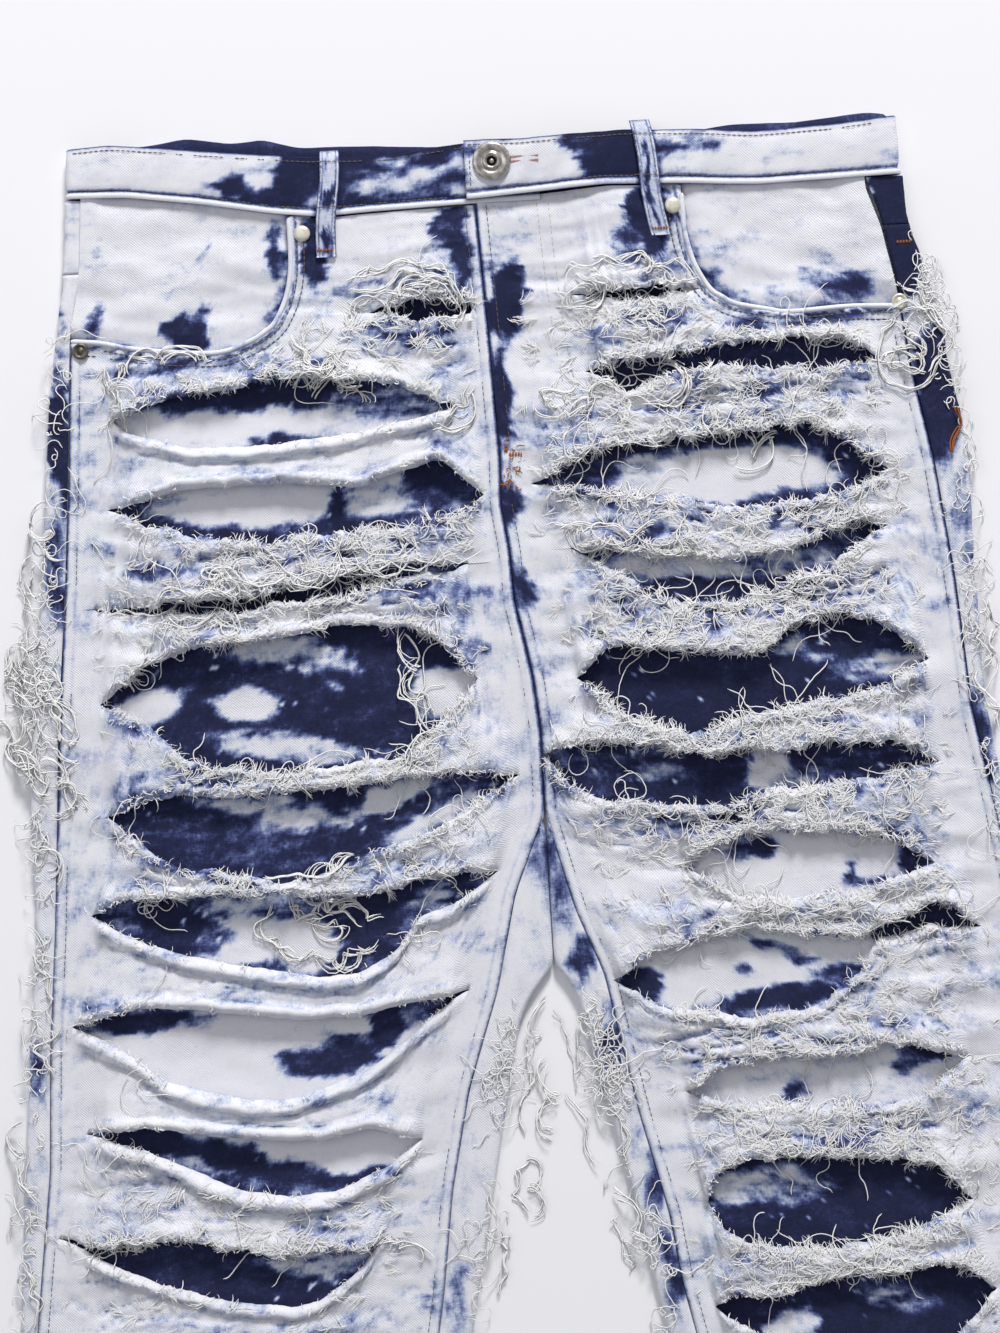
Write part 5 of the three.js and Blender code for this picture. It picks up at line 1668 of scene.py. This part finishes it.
# Hanks of loose threads: the route as (x, drop), how many threads, how wide.
HANKS = {
    "left": [
        ([(-112, 88), (-116, 100), (-112, 112), (-100, 122), (-84, 128)], 16, 18),
        ([(-110, 92), (-96, 104), (-100, 118), (-112, 118)], 9, 11),
        ([(-104, 76), (-88, 72), (-70, 70), (-48, 66), (-30, 72), (-24, 84)], 9, 12),
        ([(-66, 76), (-48, 70), (-34, 76), (-30, 90), (-40, 92)], 9, 11),
        ([(-98, 80), (-76, 82), (-50, 78)], 7, 9),
        ([(-208, 100), (-212, 112), (-206, 122), (-205, 134)], 10, 12),
        ([(-212, 108), (-190, 104), (-170, 106), (-150, 110)], 6, 11),
        ([(-60, 146), (-44, 150), (-30, 146), (-20, 136)], 9, 12),
        ([(-140, 219), (-150, 212), (-166, 216), (-160, 226), (-146, 228)], 7, 9),
        ([(-200, 218), (-170, 224), (-120, 220), (-70, 214), (-30, 212)], 9, 15),
        ([(-230, 226), (-200, 230), (-160, 228)], 6, 11),
        ([(-74, 246), (-66, 262), (-70, 284), (-60, 300), (-64, 318)], 10, 11),
        ([(-225, 262), (-205, 256), (-186, 248), (-150, 244)], 6, 9),
        ([(-150, 372), (-120, 376), (-96, 368)], 7, 8),
        ([(-142, 384), (-128, 396), (-110, 404), (-96, 414)], 16, 16),
        ([(-146, 388), (-150, 404), (-132, 418), (-112, 424), (-98, 416)], 14, 14),
        ([(-128, 386), (-104, 392), (-90, 402)], 8, 11),
        ([(-110, 560), (-90, 566), (-78, 574)], 7, 11),
        ([(-262, 175), (-256, 190), (-250, 205)], 8, 12),
        ([(-254, 205), (-262, 222), (-258, 240)], 10, 14),
        ([(-258, 240), (-268, 262), (-262, 285)], 21, 20),
        ([(-252, 262), (-250, 285), (-246, 305)], 18, 16),
        ([(-266, 285), (-264, 305), (-258, 325)], 24, 20),
        ([(-250, 305), (-246, 325), (-252, 340)], 15, 14),
        ([(-262, 330), (-266, 350), (-262, 372)], 6, 14),
        ([(-264, 390), (-270, 410), (-268, 430)], 6, 14),
        ([(-270, 440), (-276, 462), (-272, 480)], 6, 14),
        ([(-276, 490), (-280, 512), (-278, 535)], 6, 14),
        ([(-284, 545), (-286, 570), (-284, 595)], 6, 14),
        ([(-14, 470), (-12, 490), (-22, 515)], 6, 14),
        ([(-20, 510), (-24, 530), (-28, 552)], 7, 14),
        ([(-30, 545), (-36, 570), (-40, 595)], 7, 14),
        ([(-12, 448), (-16, 464), (-14, 484)], 5, 9),
    ],
    "right": [
        ([(204, 78), (214, 90), (216, 104)], 11, 14),
        ([(228, 160), (232, 180), (228, 200)], 7, 10),
        ([(228, 238), (238, 262), (232, 285)], 7, 14),
        ([(232, 290), (238, 312), (236, 335)], 8, 14),
        ([(244, 380), (250, 405), (254, 430)], 5, 12),
        ([(258, 470), (266, 500), (272, 530)], 6, 14),
        ([(8, 448), (12, 470), (16, 490)], 6, 12),
        ([(14, 490), (20, 515), (22, 540)], 7, 13),
        ([(22, 540), (30, 565), (34, 590)], 7, 13),
        ([(22, 76), (44, 72), (66, 75), (84, 76), (92, 84)], 10, 12),
        ([(26, 84), (34, 74), (46, 82), (40, 88), (28, 86)], 9, 8),
        ([(60, 72), (78, 80), (92, 78)], 9, 9),
        ([(30, 148), (36, 134), (46, 132), (58, 140)], 8, 9),
        ([(28, 124), (10, 130), (8, 142), (24, 150), (34, 142)], 6, 12),
        ([(60, 128), (74, 122), (86, 128), (84, 138), (70, 140)], 8, 8),
        ([(110, 166), (122, 172), (132, 162), (140, 168)], 7, 8),
        ([(196, 106), (206, 112), (212, 124), (204, 134), (194, 124), (198, 110)], 12, 15),
        ([(184, 100), (200, 98), (216, 104), (220, 120), (210, 130)], 10, 14),
        ([(180, 118), (196, 128), (212, 132)], 10, 11),
        ([(16, 204), (34, 208), (60, 214), (92, 214)], 9, 11),
    ],
}


# Fringe along the folds of a leg: from which drop to which, threads for each millimetre, reach.
OUTER_FRINGE = {
    "left": [(85, 120, 0.5, 9), (120, 200, 0.8, 8), (200, 245, 0.8, 8), (245, 335, 3.2, 13),
             (335, 440, 0.7, 8), (440, 560, 0.8, 8), (560, 700, 0.45, 8)],
    "right": [(62, 130, 1.8, 9), (130, 220, 0.5, 6), (228, 345, 1.3, 9), (345, 480, 0.8, 8),
              (480, 640, 1.0, 9), (640, 740, 0.4, 7)],
}
INNER_FRINGE = {"left": [(440, 620, 1.0, 11), (620, 760, 0.5, 9)],
                "right": [(440, 620, 1.8, 11), (620, 760, 0.5, 9)]}


def fringe(paths, rng):
    """A group of threads with their radius and shade."""
    return paths, rng.uniform(0.26, 0.42, len(paths)), rng.uniform(-0.3, 0.15, len(paths))


def outer_tufts(side, rng):
    """Frayed threads hanging out along the outer fold of a leg."""
    sign = MIRROR[side]
    away = 0 if sign > 0 else math.pi
    groups = []
    for start, end, per_mm, reach in OUTER_FRINGE[side]:
        drop = scattered(start, end, per_mm, 249, rng)
        count = len(drop)
        x = OUTER_FOLD[side](drop) - sign * rng.uniform(0, 9, count)
        starts = np.stack([x, WAIST_Y - drop + hem_tilt(drop) * 0.5], 1)
        heading = away + rng.normal(0, 0.9, count) + 0.5 * sign * clumped(drop, 251)
        length = rng.uniform(0.7, 1.8, count) * reach * (0.6 + 0.8 * smooth(clumped(drop, 253) + 0.4))
        paths = wander(starts, heading, length * 1.5, 12, 0.5, rng, 0.5, 2.5)
        limit = OUTER_FOLD[side](drop) * sign + reach * 1.15
        paths[:, :, 0] = sign * np.minimum(paths[:, :, 0] * sign, limit[:, None])
        groups.append(fringe(paths, rng))
    return groups


def inner_tufts(side, rng):
    """The same along its inner fold."""
    sign = MIRROR[side]
    away = math.pi if sign > 0 else 0
    groups = []
    for start, end, per_mm, reach in INNER_FRINGE[side]:
        drop = scattered(start, end, per_mm, 255, rng)
        count = len(drop)
        x = INNER_FOLD[side](drop) + sign * rng.uniform(0, 12, count)
        starts = np.stack([x, WAIST_Y - drop - hem_tilt(drop) * 0.5], 1)
        heading = away + rng.normal(0, 1.0, count)
        length = rng.uniform(0.6, 2.0, count) * reach * (0.5 + 0.9 * smooth(clumped(drop, 257) + 0.4))
        paths = wander(starts, heading, length * 1.5, 14, 0.5, rng, 0.5, 2.5)
        limit = INNER_FOLD[side](drop) * sign - reach
        paths[:, :, 0] = sign * np.maximum(paths[:, :, 0] * sign, limit[:, None])
        groups.append(fringe(paths, rng))
    return groups


# ---------------------------------------------------------------- stitching
def stitch_row(points, pitch=3.0, radius=0.3, fill=0.86):
    """Stitches along a route of (x, drop, z). fill is the share of the pitch that shows."""
    p = np.array(points, float)
    p[:, 1] = WAIST_Y - p[:, 1]
    step = np.linalg.norm(np.diff(p, axis=0), axis=1)
    along = np.concatenate([[0], np.cumsum(step)])
    count = max(1, int(along[-1] / pitch))
    starts = np.arange(count) * along[-1] / count
    spots = starts[:, None] + np.linspace(0, fill, 3)[None, :] * along[-1] / count
    paths = np.stack([np.interp(spots, along, p[:, k]) for k in range(3)], 2)
    paths[:, :, 2] += np.array([-0.2, 0.15, -0.2])[None, :]
    return paths, np.full(count, radius), np.zeros(count)


def laid(points, lift=0.2):
    """Places (x, drop) with the height of what is under them."""
    return np.column_stack([points, height_at(points[:, 0], WAIST_Y - points[:, 1]) + lift])


def fill_gaps():
    """Cells that no point fell in take the height of their neighbours."""
    for _ in range(3):
        around = np.zeros_like(heights)
        for dy, dx in ((0, 1), (0, -1), (1, 0), (-1, 0)):
            around = np.maximum(around, np.roll(np.roll(heights, dy, 0), dx, 1))
        np.copyto(heights, around, where=heights == 0)


def sideways(route):
    """The direction across a route at each of its points."""
    tangent = np.stack([np.gradient(route[:, 0]), np.gradient(route[:, 1])], 1)
    tangent /= np.linalg.norm(tangent, axis=1)[:, None] + 1e-9
    return np.stack([-tangent[:, 1], tangent[:, 0]], 1)


def beside(route, distance):
    """A route moved sideways."""
    return route + sideways(route) * distance


def tack(x, drop, width, height, count=12):
    """A bar tack: close stitches side by side, across its height."""
    xs = np.linspace(x - width / 2, x + width / 2, count)
    paths = np.empty((count, 4, 3))
    for k, at in enumerate(xs):
        d = np.linspace(drop - height / 2, drop + height / 2, 4)
        paths[k, :, 0], paths[k, :, 1] = at + 0.15 * (-1) ** k, WAIST_Y - d
    z = height_at(paths[:, :, 0], paths[:, :, 1]).max() + 0.35
    paths[:, :, 2] = z + np.array([-0.2, 0.1, 0.1, -0.2])
    return paths, np.full(count, 0.38), np.full(count, 0.1)


SEAM_STITCH = 5.6             # how far from the seams the stitches run
SEAM_START = 34               # they begin under the waistband, and at the outseam under the pocket
POCKET_END = 112
POCKET_STITCHES = (3.6, 7.0)  # how far from the pocket's edge its two rows run
HEM_STITCHES = (10, 13)
TOP_STITCH, LOW_STITCH = 2.6, 4.4       # how far from the waistband's edges its rows run
BAND_END_STITCH = -18.5                 # x of the row down its buttoned end
INTO_CLOTH = {"left": -1, "right": 1}   # which side of the pocket's edge the front lies on


def seam_rows(side):
    """Stitching beside the seams of a front, round its pocket and along its hem."""
    sign = MIRROR[side]
    rows = []
    drop = np.arange(SEAM_START, HEM - 4, 4.0)
    for share, start in ((0, SEAM_START), (1, POCKET_END)):
        d = drop[drop >= start]
        points = np.column_stack([across(side, d, share, SEAM_STITCH), d + hem_tilt(d) * (0.5 - share)])
        rows.append(stitch_row(laid(points), 3.1, 0.3))
    for away in POCKET_STITCHES:
        pocket = beside(smooth_route(POCKET_EDGE[side], 3.0), away * INTO_CLOTH[side])
        reach = OUTSEAM[side](pocket[:, 1]) * sign - 3
        pocket = pocket[(pocket[:, 1] > SEAM_START) & (pocket[:, 0] * sign < reach)]
        rows.append(stitch_row(laid(pocket, 0.3), 3.0, 0.45))
    share = np.linspace(0.02, 0.98, 60)
    for up in HEM_STITCHES:
        d = np.full(60, float(HEM - up))
        points = np.column_stack([across(side, d, share, 0), d + hem_tilt(d) * (0.5 - share)])
        rows.append(stitch_row(laid(points), 3.0, 0.33))
    return rows


def waist_rows():
    """Stitching along both edges of the waistband, and down its buttoned end."""
    rows = []
    for side, x0, x1 in (("left", -224, -19), ("right", -19, 200)):
        x = np.arange(x0, x1, 3.0)
        for drop in (BAND_TOP[side](x) + TOP_STITCH, FRONT_WAIST[side](x) - LOW_STITCH):
            rows.append(stitch_row(laid(np.column_stack([x, drop]), 0.55), 2.8, 0.38))
    drops = np.arange(2.0, 29.0, 2.0)
    end = np.column_stack([np.full(len(drops), BAND_END_STITCH), drops])
    rows.append(stitch_row(laid(end, 0.15), 2.8, 0.33))
    return rows


PIPING_RADIUS = 1.35
INSIDE_EDGE = 3.5


def piping(side):
    """The white turned edge round the pocket opening."""
    route = smooth_route(POCKET_EDGE[side], 1.5)
    sign = MIRROR[side]
    keep = (route[:, 1] > 33) & (route[:, 0] * sign < OUTSEAM[side](route[:, 1]) * sign + 1)
    route = route[keep]
    # it lies as high as the front does just inside the edge
    within = beside(route, INSIDE_EDGE * INTO_CLOTH[side])
    z = blurred(height_at(within[:, 0], WAIST_Y - within[:, 1]), 4)
    seat = seat_lift(route[:, 1]) + FLAT
    z = np.clip(z, seat + 0.5, seat + 3)
    path = np.column_stack([route[:, 0], WAIST_Y - route[:, 1], z])[None]
    points, faces = tubes(path, PIPING_RADIUS, 10, 0.6, 1.0)
    dye = 0.06 + 0.3 * smooth(fbm(points[:, 0] / 12, points[:, 1] / 12, 303) * 2 - 0.2)
    add_heights(points)
    return mesh_object(f"pocket_piping_{side}", points, faces, FRONT_DENIM, cloth_values(dye))


ORANGE_SEED = 71
BITS = [(-6, 162, 14, 3.5), (-9, 178, 10, 3.5), (-4, 172, 6, 3)]   # x, drop, how many, how spread
BUTTONHOLE = (2.5, 17)        # x of its ends
BUTTONHOLE_DROP = 11.6


def fly_rows():
    """The two curved rows of stitches beside the fly."""
    for away in (0, 6):
        route = [(15 + away, 34), (17 + away, 70), (20 + away, 105), (23 + away, 130),
                 (22 + away, 143 + away * 0.6), (14 + away * 0.4, 156 + away * 0.7),
                 (4, 161 + away * 0.9), (-9, 163 + away)]
        yield stitch_row(laid(smooth_route(route), 0.15), 3.0, 0.26)


def loop_rows(side):
    """The two rows of stitches down a front belt loop."""
    (x0, d0), (x1, d1) = FRONT_LOOPS[side]
    for offset in (-4, 4):
        loop = [(mix(x0, x1, t) + offset, mix(d0, d1, t)) for t in (0.05, 0.35, 0.65, 0.95)]
        yield stitch_row(laid(smooth_route(loop), 0.1), 2.6, 0.22)


def orange_threads():
    """Bar tacks, the buttonhole, and stray ends of orange thread."""
    groups = []
    for side in MIRROR:
        x, drop = FRONT_LOOPS[side][1]
        groups.append(tack(x, drop - 3.5, 8, 1.6))
    groups.append(tack(-4, 164, 6, 2.2, 9))
    rng = np.random.default_rng(ORANGE_SEED)
    stray, _, _ = bundle([(224, 150), (227, 160), (223, 172), (222, 187)], 3, 2.0, rng, 14, 0.5)
    groups.append((stray, np.full(3, 0.42), np.zeros(3)))
    for x, drop, count, spread in BITS:
        starts = np.stack([rng.normal(x, spread, count), WAIST_Y - rng.normal(drop, spread, count)], 1)
        heading = rng.uniform(0, ROUND, count)
        bits = wander(starts, heading, rng.uniform(2.5, 6, count), 6, 0.6, rng, 0.4, 1)
        groups.append((bits, np.full(count, 0.36), np.zeros(count)))
    groups.append(tack(204, 66, 7, 1.8, 10))
    for x in np.linspace(*BUTTONHOLE, 24):
        for way in (-1, 1):
            drops = BUTTONHOLE_DROP + way * np.array([0.5, 1.1, 1.9])
            row = np.column_stack([np.full(3, x), drops, np.full(3, BAND_FLAT + LAP_RISE + 0.9)])
            groups.append(stitch_row(row, 5, 0.3, 0.98))
    return groups


def make_stitching():
    """Every sewn thread, in three meshes by colour."""
    grey = waist_rows() + seam_rows("left") + seam_rows("right")
    grey += [row for side in MIRROR for row in loop_rows(side)]
    return [thread_object("seam_stitching", grey, GREY_THREAD),
            thread_object("fly_stitching", fly_rows(), TAN_THREAD),
            thread_object("bar_tacks", orange_threads(), ORANGE_THREAD)]


# ---------------------------------------------------------------- the whole garment
def claim(ob, slot, *nodes):
    """Every piece lies on the one body. Returns the piece."""
    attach(ob, "root")
    if nodes:
        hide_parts(*nodes)
    return ob


def cut_size(side, start, end, inset=0.0):
    """Width, length and area of a leg piece between two drops, before slashes are taken out."""
    drop = np.arange(start, end, 1.0)
    width = np.abs(OUTSEAM[side](drop) - INSEAM[side](drop)) - 2 * inset
    return width.max() * MM, (end - start) * MM, width.sum() * MM * MM


def slash_area(side):
    """Area of a front's slashes."""
    total = 0.0
    for upper, lower in SLASHES[side]:
        x = np.linspace(upper[0][0], upper[-1][0], 60)
        gap = line(lower)(x) - line(upper)(x)
        total += np.maximum(gap, 0).mean() * (x[-1] - x[0])
    return total * MM * MM


FRAY_SEEDS = {"left": 71, "right": 72}
fray = {}
for side in MIRROR:
    yoke = claim(back_cloth(side, f"yoke_{side}", True), "back_denim", f"back_yoke_{side}")
    back = claim(back_cloth(side, f"back_{side}", False), "back_denim", f"back_panel_{side}")
    pocket = claim(back_pocket(side), "back_denim", f"back_pocket_{side}")
    behind = claim(backing_piece(side), "backing_denim", f"front_backing_{side}")
    facing = claim(facing_piece(side), "front_denim", f"pocket_facing_{side}")
    front, edges = front_piece(side)
    claim(front, "front_denim", f"front_panel_{side}")
    claim(piping(side), "front_denim")
    fray[side] = edges
    width, length, area = cut_size(side, 31, HEM)
    area - slash_area(side)
    width, length, area = cut_size(side, 72, BACKING_END, 4)

band = claim(waistband_piece(), "trim_denim", "waistband")
for side in MIRROR:
    loop = claim(front_loop(side), "trim_denim", f"front_belt_loop_{side}")
for place_name in BACK_LOOPS:
    loop = claim(back_loop(place_name), "trim_denim", f"back_belt_loop_{place_name}")
button, hole = button_pieces()
claim(button, "button_metal", "waist_button")
claim(hole, "button_metal")
for name in RIVETS:
    claim(rivet_piece(name), "rivet_metal", f"rivet_{name}")

fill_gaps()
for ob in make_stitching():
    claim(ob, "frayed_thread")
for side in MIRROR:
    rng = np.random.default_rng(FRAY_SEEDS[side])
    short, long_threads = edge_fuzz(side, fray[side], rng)
    claim(fibre_object(f"fuzz_{side}", short, rng), "frayed_thread")
    claim(fibre_object(f"shag_{side}", band_shag(side, fray[side], rng), rng), "frayed_thread")
    hanks = [bundle(route, count, width, rng) for route, count, width in HANKS[side]]
    claim(thread_object(f"hanks_{side}", hanks + long_threads), "frayed_thread")
    claim(thread_object(f"outer_tufts_{side}", outer_tufts(side, rng)), "frayed_thread",
          f"fray_outseam_{side}")
    claim(thread_object(f"inner_tufts_{side}", inner_tufts(side, rng)), "frayed_thread",
          f"fray_inseam_{side}")
